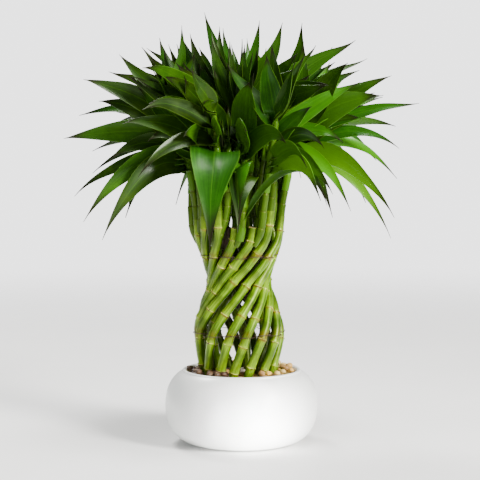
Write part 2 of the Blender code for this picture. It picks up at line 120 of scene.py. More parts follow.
SHOOT_GAP = 0.0020
SHOOT_RADII = (0.0045, 0.0044, 0.0042, 0.0038, 0.0032, 0.0025, 0.0015)
SHOOT_TOP_Z = 0.376
OUTWARD_LEAN = 0.004
INWARD_LEAN = -0.054
LEAN_POWER = 2.6
JOINTS = [0.36 + 0.057 * n for n in range(12)]
CROWNS_TRIED = 4
NARROWINGS = (1, 0.8)
NUDGES = [Vector((0, 0))] + [
    Vector((math.cos(turn), math.sin(turn))) * reach
    for reach in (0.007, 0.014, 0.022, 0.032)
    for turn in (math.radians(45 * step) for step in range(8))
]
LOWEST_TIP_Z = 0.22  # leaves with low tips grow from low joints: heights of the lowest and highest tips
HIGHEST_TIP_Z = 0.50
AIM_SHARE = 0.35  # a leaf prefers the crown that stands at this share of its tip's way out
CROWN_SHARE = 0.8  # share of a shoot at which its crown is taken to stand
CROWDING = 0.006  # each leaf that a crown has counts as this much distance
PULL_SHARE = 0.24  # a midrib starts along its shoot, this share of its chord
CREST_SHARE = 0.62  # and its arch is highest near this one
ROLL_SHARE = 0.3  # share of the midrib at which a leaf has turned by its roll
PETIOLE_SHARE = 0.17
LEAF_FOLD = 0.20
GAP = 0.0004

# Leaves given one by one on the front and sides: tip x, y, z, arch and width in millimetres, roll in degrees
SET_LEAVES = (
    # front
    (-42, -118, 243, 96, 40, -6),
    (0, -104, 276, 84, 30, 4),
    (9, -92, 420, 20, 38, 0),
    (62, -74, 440, 12, 34, 30),
    (-84, -86, 430, 22, 30, -40),
    (74, -134, 330, 46, 26, 20),
    (-112, -112, 392, 30, 22, -40),
    (100, -100, 414, 24, 32, 40),
    (-43, -98, 404, 24, 34, -30),
    # left side, from level leaves up to the steep ones
    (-205, -20, 358, 22, 36, -70),
    (-194, 25, 391, 30, 20, -8),
    (-181, -45, 423, 22, 32, -50),
    (-153, 0, 440, 8, 29, -60),
    (-138, -50, 452, 10, 27, -40),
    (-112, 55, 467, 8, 23, -35),
    (-112, -105, 441, 36, 31, -28),
    (-73, 60, 469, 0, 19, 0),
    # left side, hanging
    (-180, -60, 264, 62, 31, -52),
    (-193, 10, 287, 50, 22, -25),
    (-180, 70, 314, 42, 19, -15),
    (-184, 112, 340, 30, 20, -10),
    (-155, -74, 244, 72, 35, -60),
    (-115, -112, 317, 45, 20, -30),
    # right side, from steep leaves down to the level ones
    (130, 15, 478, 8, 33, 50),
    (121, -72, 447, 18, 35, 48),
    (149, 62, 459, 8, 17, 12),
    (170, -42, 430, 14, 28, 60),
    (203, -30, 404, 12, 19, 12),
    (173, 92, 403, 14, 17, 10),
    (183, -22, 348, 42, 19, 12),
    (186, 25, 313, 58, 19, 14),
    # right side, hanging
    (169, -72, 267, 78, 30, 38),
    (170, -18, 241, 92, 24, 32),
    (125, -82, 279, 66, 22, 30),
    (91, -128, 293, 62, 30, 22),
    (93, -92, 283, 62, 21, 16),
    # top
    (-43, 30, 507, 0, 25, -8),
    (-31, -6, 484, 0, 27, 0),
    (-18, 72, 489, 0, 21, 0),
    (-10, 35, 468, 0, 18, 0),
    (-2, -30, 472, 0, 20, 0),
    (10, 62, 480, 0, 18, 0),
    (23, 18, 495, 0, 18, 0),
    (37, -12, 477, 0, 20, 0),
    (51, -34, 490, 0, 27, 5),
    (73, 12, 490, 0, 24, 8),
    (87, 62, 463, 4, 18, 0),
    (98, 38, 452, 4, 20, 0),
)
# Leaves set by rule: their tips lie on flattened domes, wherever no other tip is near
DOME_CENTRE = Vector((0, 0, 0.345))
DOMES = (  # places tried, radius, rise, lowest and highest sine of elevation, spacing, front limit
    (130, 0.186, 0.140, -0.62, 0.93, 0.042, -0.005),
    (60, 0.090, 0.120, 0.45, 0.99, 0.032, -1.0),
    (60, 0.128, 0.105, 0.00, 0.75, 0.034, -1.0),
    (36, 0.135, 0.095, -0.75, 0.00, 0.042, 0.000),
)

# ---- Detail that only shows ----

# Cane skin: places within one internode, whose ring is at its middle, and the radius there
CANE_RINGS = 8
CANE_SIDES = 20
CANE_PROFILE = (
    (0.00, 0.985),
    (0.20, 0.985),
    (0.36, 1.005),
    (0.43, 1.050),
    (0.475, 1.115),
    (0.494, 1.155),
    (0.502, 1.065),
    (0.512, 1.100),
    (0.545, 1.035),
    (0.62, 1.000),
    (0.80, 0.985),
)
CANE_FULLNESS = 1.16  # the rings and skin make a cane look this much thicker than its CAD rod
CANE_KINK = 0.0007
BUD_RING = 0.49  # share of an internode at which its buds sit
BUDS_PER_RING = 3
BUD_SIZES = (0.0006, 0.0012)
BUD_REACH = 1.12  # the ring's radius, on which they sit, as a part of the cane's
END_FACE_Z = 0.2  # a cane's upper end face lies above this
STUMPS = 7  # old stumps inside the waist, every other one longer and still green; a dark filler that paints shade into the gaps between the canes
STUMP_INSET = 0.0165
STUMP_SPANS = ((0.162, 0.256, 2), (0.072, 0.248, 6))  # dry and green ones: lowest and highest point, rings
STUMP_RADIUS = 0.0062
STUMP_TAPER = 0.003  # how much thinner its ends are
SHEATHS = 7
SHOOT_SIDES = 16
SHOOT_PROFILE = ((0.00, 0.95), (0.10, 0.97), (0.60, 1.03), (0.93, 1.09), (0.985, 1.07))
SHOOT_OVERLAP = 0.005  # how far a shoot's lowest sheath reaches down over its cane
RUN_ON = 0.02  # how far a shoot's line would run on straight, for a share of 1 past its ends
SIDE_BEND = (0.2925, 0.12)  # share of its way to the stub that a side shoot's foot bends in, within this part
TOP_FOOT = (1.16, 0.05)  # factor on the radius at a shoot's foot, and the part of it where that fades out
SIDE_FOOT = (0.72, 0.08)
SECOND_FOOT = (0.70, 0.10)

LEAF_ACROSS = 10
LEAF_ALONG = 34
LEAF_THICKNESS = 0.0006
SHEATH_ROOM = 0.0005  # how far a leaf's sheath lies off its shoot's skin
SHEATH_SHARE = 0.07  # share of a leaf blank that wraps the shoot below the joint
SHEATH_LENGTH = 0.013
SHEATH_WRAP = 2.3  # half angle of the wrap, in radians
GUTTER = 0.42  # half angle of the open blade's fold
UNROLLED = 0.22  # share of the blade at which it has opened out of its sheath
BLADE_SWAY = 0.012  # a blade's waves to the side and up and down, as parts of its length
BLADE_WAVE = 0.010
TIP_SWAY = 0.085  # how far chance bends its point to the side, and up or down
TIP_LIFT = 0.120
EDGE_RIPPLE = 0.05  # waves along its edges, as a part of its half width
RULE_TWIST = 1.0  # the most that a blade turns over towards its point, in radians
SET_TWIST = 0.12  # the same for the listed leaves
BROAD_LEAF = 0.0225  # listed leaves wider than this count as broad
FRONT_SHARE = 0.88  # share of the turn that would bring a broad one's face to the front
NARROW_FRONT_SHARE = 0.60  # the same for narrow ones, and for those set by rule
INNER_FRONT_SHARE = 0.75  # the same for young leaves and for those that fill the crowns
FRONT_HALF = 0.03  # leaves set by rule are turned to the front too, where their tip lies before this
FRONT_WIDTH = 0.86  # factor on a turned broad leaf's width, because it now shows all of it
MATCH = 5e-5  # a CAD corner this close to a leaf's place belongs to that leaf
EDGE_SHARE = 0.46  # where along a leaf its edge is looked up in CAD

SHOOT_TIP = 0.99  # share of a shoot from which its newest leaves rise
YOUNG_LEAVES = 2  # narrow new leaves at each shoot's top
YOUNG_LEAN = 0.35  # they lean out by this share of their shoot's distance from the middle
YOUNG_ROLL = 0.6
YOUNG_REACH = (0.012, 0.034)
YOUNG_HEIGHT = (0.050, 0.092)
YOUNG_WIDTH = (0.017, 0.025)
LOW_SIDE = -0.015  # left of this the young leaves are lower, by the factor below
LOW_FACTOR = 0.72
# Leaves that fill the crowns: broad short ones on the first shoots, longer ones on the second
INNER_LEAVES = {
    "count": 5,
    "from": 0.9,  # share of the shoot that their length is measured from
    "spread": 0.95,  # radians from one leaf to the next, and how far chance moves each
    "stray": 0.25,
    "climb": (0.60, 1.25),  # radians over level
    "length": (0.080, 0.122),
    "front": -0.010,  # their middles stay behind this, and their tips below the next
    "highest": 0.480,
    "joint": 0.95,  # the uppermost leaf's joint, and the step down to the next one
    "joint_step": 0.045,
    "arch": (0.004, 0.016),
    "width": (0.024, 0.036),
    "roll": 0.5,
}
SECOND_LEAVES = {
    "count": 3,
    "from": 0.95,
    "spread": 0.75,
    "stray": 0.3,
    "climb": (0.45, 1.20),
    "length": (0.095, 0.140),
    "front": -0.065,
    "highest": 0.470,
    "joint": 0.97,
    "joint_step": 0.07,
    "arch": (0.008, 0.022),
    "width": (0.018, 0.026),
    "roll": 0.6,
}
SPEAR_LENGTH = 0.050  # a second shoot's rolled new leaf
SPEAR_WIDTH = 0.013
SPEAR_JOINT = 0.985
# Freshness of a leaf's green, partly painted light: at the crown's middle, then what each metre to the right
# adds as painted light, what each metre down adds, and how far chance moves it
FRESHNESS = 0.66
FRESH_MIDDLE_Z = 0.37
PAINTED_LIGHT_RIGHT = 2.6
FRESHER_DOWN = 1.0
FRESH_SPREAD = 0.62

# More leaves for the fans: crown, joint, tip x, y, z, arch and width in millimetres, freshness, which also
# carries painted light
FAN_LEAVES = (
    # left
    (11, 0.70, -166, -10, 402, 24, 29, 0.2),
    (12, 0.80, -126, -42, 428, 14, 29, 0.35),
    (10, 0.80, -138, 40, 424, 12, 26, 0.15),
    (12, 0.72, -104, -84, 402, 30, 31, 0.6),
    (12, 0.88, -76, -62, 446, 10, 28, 0.2),
    (12, 0.60, -132, -86, 372, 34, 27, 0.3),
    (11, 0.55, -150, -30, 330, 44, 26, 0.1),
    (11, 0.92, -66, -22, 488, 0, 17, 0.7),
    (10, 0.95, -24, 8, 489, 0, 19, 0.3),
    (10, 0.90, -60, 6, 480, 0, 22, 0.2),
    (12, 0.95, -38, -18, 474, 0, 23, 0.45),
    (11, 0.97, -56, -34, 458, 0, 24, 0.65),
    (9, 0.93, -84, 24, 470, 2, 18, 0.1),
    (9, 0.85, -92, 20, 446, 6, 25, 0.2),
    # right
    (3, 0.82, 154, -56, 405, 24, 37, 0.95),
    (4, 0.88, 112, 18, 446, 8, 29, 0.5),
    (2, 0.85, 96, -88, 418, 22, 33, 0.7),
    (3, 0.70, 138, -22, 378, 28, 28, 0.4),
    (2, 0.92, 66, -58, 456, 8, 27, 0.9),
    (5, 0.80, 118, 60, 420, 10, 26, 0.3),
    # middle
    (1, 0.95, 24, -62, 452, 6, 27, 0.6),
    (14, 0.97, 4, -34, 466, 0, 20, 0.8),
    (12, 0.98, -12, -16, 470, 0, 19, 0.2),
    (2, 0.97, 51, -34, 489, 0, 25, 0.9),
    (1, 0.98, 36, -50, 466, 0, 21, 0.3),
    (3, 0.97, 72, -18, 470, 0, 23, 0.6),
    (13, 0.46, -37, -141, 237, 86, 58, 0.78),
    (14, 0.50, -6, -108, 254, 62, 38, 0.30),
    (14, 0.14, 98, -104, 292, 96, 8, 0.5),
    (1, 0.60, 100, -104, 296, 52, 24, 0.9),
)

# Two thinner second shoots for each cane: an outer one beside it and one further in
SECOND_RADII = (0.0040, 0.0041, 0.0040, 0.0037, 0.0032, 0.0025, 0.0016)
SECOND_FOOT_Z = 0.234
SECOND_TOP_Z = 0.348
SECOND_INSET = (0.003, 0.021)  # how far they stand inside the ring of canes
SECOND_SWING = (0.5, -0.1)  # share of the gap to the next cane that they swing
SECOND_LEAN = -0.022  # how far the tops of every other outer one lean in

BOWL_CORE = 0.050
BOWL_SIDE = 0.040
BOWL_WAIST_Z = 0.045
BOWL_LIFT = 0.0441
BOWL_SQUARENESS = 2.3
BOWL_WALL = 0.005
RIM_RADIUS = 0.070
LIP_ROUND = 0.0020
FOOT_RADIUS = 0.047
FOOT_HOLLOW = 0.0012
FOOT_RING = (0.006, 0.0045)  # where the hollow ends and the flat ring begins, in from the foot's edge
OUTSIDE_START = -80  # degrees on the side's curve where its outside begins and its inside ends
INSIDE_END = -84
OUTSIDE_STEPS = 30
LIP_STEPS = 10
INSIDE_STEPS = 20
BOWL_STEPS = 112

CAD_PEBBLES = 12
PEBBLE_KINDS = 5
PEBBLE_AREA = 0.0610  # radius within which pebbles are tried
PEBBLE_EDGE = 0.0650  # radius that no pebble reaches past
PEBBLE_Z = 0.082  # height at which the canes pass between the pebbles
CANE_ROOM = 0.0052  # room kept for a cane
OFF_CANES = 0.85  # share of its half size that a pebble keeps off that room, and off other pebbles
OFF_PEBBLES = 0.86
GAP_BACK = -0.040  # the upper layers leave the watering gap free: in front of this,
GAP_HALF = 0.020  # and this far to both sides
PEBBLE_LAYERS = (  # lift over the bed, places tried, smallest and largest half size, reach it starts at
    (0.0022, 1500, 0.0038, 0.0062, 0.0),
    (0.0066, 900, 0.0042, 0.0060, 0.030),
    (0.0096, 900, 0.0040, 0.0054, 0.048),
)
# A pebble's shade runs from 0 to 1 through the colours below: cream and yellow, dark red, then a pale grey
MIDDLE_HALF = 0.015  # pebbles this near to the middle, to the left or right, have any shade
RED_SHADES = (0.70, 0.22)  # first dark red shade, and the range of them
RED_AND_SHADOW_SHARE = 0.95  # share of the pebbles on the left that are dark red: partly their own colour and partly painted shade
PALE_SHADES = 0.68  # those on the right have shades up to this
STONE_COLOURS = (
    (0.00, (0.62, 0.36, 0.080)),
    (0.22, (0.74, 0.52, 0.170)),
    (0.46, (0.34, 0.18, 0.050)),
    (0.56, (0.60, 0.36, 0.050)),
    (0.70, (0.036, 0.011, 0.004)),
    (0.84, (0.070, 0.032, 0.013)),
    (0.92, (0.62, 0.55, 0.42)),
)

WIRE_STEPS = 14  # points from one cane to the next
COAT_RADIUS = 0.00038  # the wire is drawn thinner than its CAD strand
WIRE_PUSH = 1.55  # how sharply it passes from one side of the canes to the other
WIRE_ROOM = 1.04  # room that it leaves for the thicker canes
WIRE_SAG = 0.0003

# A leaf's colours: deep, middle, bright and sunlit green, and its least roughness
LEAF_FACE = ((0.0022, 0.0085, 0.0), (0.0050, 0.044, 0.0), (0.024, 0.140, 0.0), (0.060, 0.240, 0.0), 0.33)
LEAF_BACK = ((0.006, 0.022, 0.0), (0.014, 0.060, 0.0), (0.038, 0.125, 0.0), (0.080, 0.230, 0.0), 0.42)

# Light: the room's glow, the pale wall behind, and soft lamps (name, place, size, power, colour)
ROOM_LIGHT = (0.27, 0.275, 0.28)
WALL_LIGHT = (2.90, 2.90, 2.92)
LAMPS = (
    ("window", (1.8, -1.7, 1.3), 0.7, 215, (1.0, 0.985, 0.95)),
    ("fill", (-1.9, -1.4, 0.9), 1.2, 14, (0.93, 0.97, 1.0)),
    ("skylight", (-0.7, 1.1, 1.9), 0.6, 55, (1.0, 1.0, 0.97)),
    ("overhead", (0.3, -0.2, 2.3), 0.7, 60, (1.0, 1.0, 1.0)),
)
LAMP_TARGET = (0, 0, 0.28)
POT_LAMP = ((0.50, -1.75, 0.05), (0, 0, 0.015), 0.06, 0.29)  # place, target, size, power
POT_LAMP_SPREAD = 4.5  # degrees
FLOOR_FADE = (0.7, 2.4)  # the floor fades into the pale wall between these distances
FLOOR_SIZE = 12
FLOOR_DROP = 0.0002  # the floor lies this much below the foot
CAMERA_PLACE = (-0.0018, -1.9, 0.38)
CAMERA_TILT = 4.24  # degrees below level
CAMERA_LENS = 121.7


# ---- Working by hand in code ----


def deselect_all():
    for other in bpy.context.view_layer.objects:
        other.select_set(False)


def work_on(piece):
    deselect_all()
    piece.select_set(True)
    bpy.context.view_layer.objects.active = piece


def named(name):
    piece = bpy.context.object
    piece.name = name
    piece.data.name = name
    return piece


def settle(piece):
    """Takes the piece's place into its mesh, so that its object sits at the origin."""
    piece.data.transform(piece.matrix_world)
    piece.matrix_world = Matrix.Identity(4)
    bpy.context.view_layer.update()


def edit(piece):
    """Edit mode on a piece, with all of it selected."""
    work_on(piece)
    bpy.ops.object.mode_set(mode="EDIT")
    bpy.ops.mesh.select_all(action="SELECT")


def end_edit():
    bpy.ops.object.mode_set(mode="OBJECT")


def clean(piece, distance=1e-6):
    """Merges doubled corners and points all faces outwards."""
    edit(piece)
    bpy.ops.mesh.remove_doubles(threshold=distance)
    bpy.ops.mesh.normals_make_consistent(inside=False)
    end_edit()


def join(pieces, name):
    work_on(pieces[0])
    for piece in pieces[1:]:
        piece.select_set(True)
    if len(pieces) > 1:
        bpy.ops.object.join()
    return named(name)


def put_in_scene(name, data):
    made = bpy.data.objects.new(name, data)
    bpy.context.scene.collection.objects.link(made)
    return made


def copy_of(blank, name):
    return put_in_scene(name, blank.data.copy())


def throw_away(*blanks):
    for blank in blanks:
        bpy.data.objects.remove(blank)


def coat_with(piece, *materials):
    for material in materials:
        piece.data.materials.append(material)


def smooth(piece, degrees=None):
    """Shades a piece smooth, up to an angle between its faces where one is given."""
    work_on(piece)
    if degrees is None:
        bpy.ops.object.shade_smooth()
    else:
        bpy.ops.object.shade_smooth_by_angle(angle=math.radians(degrees))


def finish_piece(piece, material_slot, *nodes):
    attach(piece, "root")
    if nodes:
        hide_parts(*nodes)


def put_attribute(piece, name, values):
    """Keeps a number or a vector, as a tuple, for each corner of a piece."""
    if isinstance(values[0], tuple):
        attribute = piece.data.attributes.new(name, "FLOAT_VECTOR", "POINT")
        attribute.data.foreach_set("vector", [part for value in values for part in value])
    else:
        attribute = piece.data.attributes.new(name, "FLOAT", "POINT")
        attribute.data.foreach_set("value", values)


def put_everywhere(piece, name, value):
    """Keeps the same number for all corners of a piece."""
    put_attribute(piece, name, [value] * len(piece.data.vertices))


# ---- Surfaces ----


def feed(tree, node, inputs):
    """Sets a node's inputs, each to a number or colour or to the socket that feeds it."""
    for key, value in inputs.items():
        if isinstance(value, bpy.types.NodeSocket):
            tree.links.new(value, node.inputs[key])
        else:
            node.inputs[key].default_value = value


def add(tree, kind, inputs=None, **settings):
    """Adds a shader node."""
    made = tree.nodes.new("ShaderNode" + kind)
    for key, value in settings.items():
        setattr(made, key, value)
    feed(tree, made, inputs or {})
    return made


def attribute(tree, name, output="Fac"):
    return add(tree, "Attribute", attribute_name=name).outputs[output]


def height_of(tree, vector):
    return add(tree, "SeparateXYZ", {0: vector}).outputs[2]


def mixed(tree, factor, first, second):
    """Blends two colours, each a socket or a linear colour."""
    first = (*first, 1) if isinstance(first, tuple) else first
    second = (*second, 1) if isinstance(second, tuple) else second
    return add(tree, "Mix", {0: factor, 6: first, 7: second}, data_type="RGBA").outputs[2]


def layered(tree, colour, *layers):
    """Lays more colours over the first, each as thickly as its amount says."""
    for amount, over in layers:
        colour = mixed(tree, amount, colour, over)
    return colour


def maths(tree, operation, first, second=0.0):
    return add(tree, "Math", {0: first, 1: second}, operation=operation).outputs[0]


def times(tree, first, second):
    return maths(tree, "MULTIPLY", first, second)


def ranged(tree, value, low, high, out_low=0.0, out_high=1.0):
    inputs = {0: value, 1: low, 2: high, 3: out_low, 4: out_high}
    return add(tree, "MapRange", inputs, interpolation_type="SMOOTHSTEP").outputs[0]


def band(tree, value, start, full, fading, end):
    """1 where the value lies between full and fading, and 0 below start and above end."""
    return times(tree, ranged(tree, value, start, full), ranged(tree, value, end, fading))


def noise(tree, vector, scale, detail=4.0, roughness=0.55, distortion=0.0):
    inputs = {
        "Vector": vector,
        "Scale": scale,
        "Detail": detail,
        "Roughness": roughness,
        "Distortion": distortion,
    }
    return add(tree, "TexNoise", inputs).outputs[0]


def stretched(tree, vector, scale):
    return add(tree, "Mapping", {0: vector, 3: scale}).outputs[0]


def bumped(tree, height, strength, distance, normal=None):
    inputs = {"Height": height, "Strength": strength, "Distance": distance}
    if normal is not None:
        inputs["Normal"] = normal
    return add(tree, "Bump", inputs).outputs[0]


def surface(name):
    """A new material: its node tree, its Principled shader and its Object coordinates."""
    material = bpy.data.materials.new(name)
    material.use_nodes = True
    tree = material.node_tree
    shader = tree.nodes["Principled BSDF"]
    place = add(tree, "TexCoord").outputs["Object"]
    return material, tree, shader, place


def satin_glaze():
    """Off-white glaze, lightly clouded and specked."""
    material, tree, shader, place = surface("satin white glaze")
    cloud = noise(tree, place, 14, 3)
    speck = noise(tree, place, 420, 2, 0.7)
    colour = layered(
        tree,
        (0.80, 0.815, 0.79),
        (ranged(tree, cloud, 0.3, 0.7), (0.86, 0.865, 0.845)),
        (ranged(tree, speck, 0.70, 0.80, 0, 0.25), (0.60, 0.58, 0.52)),
    )
    ripple = bumped(tree, noise(tree, place, 55, 2), 0.05, 0.002)
    looks = {
        "Base Color": colour,
        "Roughness": ranged(tree, cloud, 0.25, 0.75, 0.30, 0.42),
        "Normal": bumped(tree, speck, 0.04, 0.0004, ripple),
        "Coat Weight": 0.25,
        "Coat Roughness": 0.18,
    }
    feed(tree, shader, looks)
    return material


def river_stone():
    """Mottled and veined pebbles, each in the colour of its own shade."""
    material, tree, shader, place = surface("river stone")
    ramp = add(tree, "ValToRGB", {0: attribute(tree, "stone")})
    ramp.color_ramp.interpolation = "CONSTANT"
    stops = ramp.color_ramp.elements
    for number, (position, colour) in enumerate(STONE_COLOURS):
        stop = stops[number] if number < 2 else stops.new(position)  # a new ramp has two stops
        stop.position = position
        stop.color = (*colour, 1)
    mottle = noise(tree, place, 260, 5, 0.65)
    vein = noise(tree, stretched(tree, place, (60, 60, 260)), 1.0, 3, 0.5, 1.2)
    colour = layered(
        tree,
        ramp.outputs[0],
        (ranged(tree, mottle, 0.35, 0.7, 0, 0.5), (0.150, 0.085, 0.036)),
        (ranged(tree, vein, 0.60, 0.72, 0, 0.4), (0.64, 0.48, 0.240)),
    )
    looks = {
        "Base Color": colour,
        "Roughness": ranged(tree, mottle, 0.3, 0.7, 0.42, 0.68),
        "Normal": bumped(tree, mottle, 0.25, 0.0006),
    }
    feed(tree, shader, looks)
    return material


def cane_skin():
    """Yellow-green skin with pale rings, brown-stained scars below them and a waxy bloom above; painted
    highlights below the rings, painted shade low down and on the side that looks into the ring, and brown at
    the ties that is partly stain and partly painted shade.
    """
    material, tree, shader, place = surface("waxy cane skin")
    rod = attribute(tree, "rod", "Vector")
    tint = attribute(tree, "tint")
    height = height_of(tree, place)
    within = maths(tree, "FRACT", height_of(tree, rod))
    streak = noise(tree, stretched(tree, rod, (2.6, 2.6, 0.55)), 1.6, 5, 0.6)
    patch = noise(tree, place, 38, 4, 0.6)
    grain = noise(tree, stretched(tree, rod, (16, 16, 1.2)), 1.0, 3, 0.6)
    rust = noise(tree, place, 120, 3)
    wear = noise(tree, place, 210, 2)

    green = mixed(tree, tint, (0.015, 0.052, 0.0), (0.029, 0.088, 0.0))
    yellow = mixed(tree, tint, (0.070, 0.165, 0.0), (0.170, 0.325, 0.0))
    # Painted highlight: lighter yellow streaks in the part of each internode just below the next ring
    lighter = times(tree, ranged(tree, within, 0.15, 0.46), ranged(tree, streak, 0.40, 0.60, 0.2, 0.7))
    darker = times(tree, ranged(tree, within, 0.62, 0.92), ranged(tree, patch, 0.36, 0.54, 0.1, 0.7))
    scar = band(tree, within, 0.40, 0.485, 0.495, 0.505)
    bloom = band(tree, within, 0.505, 0.515, 0.52, 0.60)
    lip = band(tree, within, 0.482, 0.490, 0.503, 0.512)
    colour = layered(
        tree,
        green,
        (ranged(tree, streak, 0.40, 0.62), yellow),
        (ranged(tree, patch, 0.50, 0.68, 0, 0.7), (0.012, 0.036, 0.0)),
        (ranged(tree, height, 0.215, 0.275, 0, 0.72), (0.013, 0.042, 0.0)),
        # painted shade: darker green low down, towards the bowl
        (ranged(tree, height, 0.150, 0.085, 0, 0.50), (0.016, 0.048, 0.0)),
        # the painted highlight below each ring
        (lighter, (0.190, 0.330, 0.002)),
        (darker, (0.014, 0.044, 0.0)),
        (times(tree, scar, ranged(tree, patch, 0.42, 0.60)), (0.150, 0.078, 0.004)),
        (times(tree, scar, ranged(tree, rust, 0.50, 0.60)), (0.045, 0.011, 0.002)),
        (times(tree, bloom, 0.6), (0.200, 0.300, 0.010)),
        (times(tree, lip, ranged(tree, wear, 0.40, 0.58, 0.15, 1)), (0.520, 0.560, 0.110)),
    )
    # Brown at each tie: partly a stain and partly painted shade in the hollows between the crowded canes
    for level in TIE_HEIGHTS.values():
        away = maths(tree, "ABSOLUTE", maths(tree, "SUBTRACT", height, level))
        tie_stain_and_shade = times(tree, ranged(tree, away, 0.0100, 0.001), ranged(tree, patch, 0.40, 0.56))
        colour = mixed(tree, times(tree, tie_stain_and_shade, 0.80), colour, (0.085, 0.043, 0.0))
    # Painted shade: the skin that looks into the ring of canes, and its flanks beside the neighbours, is
    # painted dark green, as if shaded by the other canes
    inside = ranged(tree, attribute(tree, "facing"), 0.75, -0.45, 0, 0.85)
    looks = {
        "Base Color": mixed(tree, inside, colour, (0.010, 0.032, 0.0)),
        "Roughness": ranged(tree, patch, 0.3, 0.7, 0.30, 0.44),
        "Normal": bumped(tree, streak, 0.12, 0.0008, bumped(tree, grain, 0.18, 0.0003)),
        "Specular IOR Level": 0.55,
        "Specular Tint": (0.80, 1.0, 0.22, 1),
        "Coat Weight": 0.06,
        "Coat Roughness": 0.28,
    }
    feed(tree, shader, looks)
    return material


def cut_end():
    """The dry, yellowed face of a cut cane, with its fibres."""
    material, tree, shader, place = surface("dry cut end")
    fibre = noise(tree, place, 900, 4, 0.7)
    patch = noise(tree, place, 160, 3)
    colour = layered(
        tree,
        (0.270, 0.195, 0.055),
        (ranged(tree, fibre, 0.35, 0.7), (0.400, 0.320, 0.120)),
        (ranged(tree, patch, 0.52, 0.66, 0, 0.8), (0.120, 0.060, 0.014)),
    )
    feed(tree, shader, {"Base Color": colour, "Roughness": 0.8, "Normal": bumped(tree, fibre, 0.5, 0.0005)})
    return material


def dark_stump_shade():
    """Old brown-green skin with maroon patches, dark enough to stand for painted shade between the canes."""
    material, tree, shader, place = surface("dark stump skin as painted shade")
    patch = noise(tree, place, 90, 4, 0.6)
    grain = noise(tree, stretched(tree, place, (500, 500, 60)), 1.0, 3)
    colour = layered(
        tree,
        (0.022, 0.030, 0.001),
        (ranged(tree, patch, 0.40, 0.62), (0.034, 0.008, 0.004)),
        (ranged(tree, grain, 0.50, 0.70, 0, 0.5), (0.070, 0.050, 0.012)),
    )
    feed(tree, shader, {"Base Color": colour, "Roughness": 0.75, "Normal": bumped(tree, grain, 0.4, 0.0006)})
    return material


def dry_bud():
    """Dry root buds and scraps of old sheath, from straw yellow to dark brown."""
    material, tree, shader, place = surface("dry root bud")
    kind = noise(tree, place, 70, 2)
    grain = noise(tree, place, 900, 3, 0.7)
    colour = layered(
        tree,
        (0.060, 0.022, 0.004),
        (ranged(tree, kind, 0.44, 0.54), (0.420, 0.360, 0.085)),
        (ranged(tree, grain, 0.45, 0.65, 0, 0.6), (0.045, 0.014, 0.003)),
    )
    feed(tree, shader, {"Base Color": colour, "Roughness": 0.7, "Normal": bumped(tree, grain, 0.5, 0.0003)})
    return material


def shoot_skin():
    """Smooth sheaths, green with yellow-green streaks and a thin papery edge."""
    material, tree, shader, place = surface("sheathed shoot skin")
    rod = attribute(tree, "rod", "Vector")
    height = height_of(tree, place)
    within = maths(tree, "FRACT", height_of(tree, rod))
    streak = noise(tree, stretched(tree, rod, (5, 5, 0.5)), 1.6, 5, 0.6)
    patch = noise(tree, place, 45, 4)
    colour = layered(
        tree,
        (0.009, 0.030, 0.0),
        (attribute(tree, "tint"), (0.022, 0.064, 0.0)),
        (ranged(tree, streak, 0.42, 0.62, 0, 0.8), (0.050, 0.110, 0.0)),
        (ranged(tree, patch, 0.52, 0.70, 0, 0.5), (0.008, 0.024, 0.0)),
        (ranged(tree, height, 0.285, 0.345, 0, 0.45), (0.020, 0.056, 0.0)),
        (ranged(tree, within, 0.93, 0.97, 0, 0.35), (0.100, 0.120, 0.020)),
        (ranged(tree, within, 0.10, 0.0, 0, 0.4), (0.050, 0.042, 0.006)),
    )
    looks = {
        "Base Color": colour,
        "Roughness": ranged(tree, patch, 0.3, 0.7, 0.32, 0.46),
        "Normal": bumped(tree, streak, 0.20, 0.0005),
        "Specular IOR Level": 0.35,
        "Specular Tint": (0.80, 1.0, 0.25, 1),
        "Coat Weight": 0.05,
        "Coat Roughness": 0.25,
    }
    feed(tree, shader, looks)
    return material


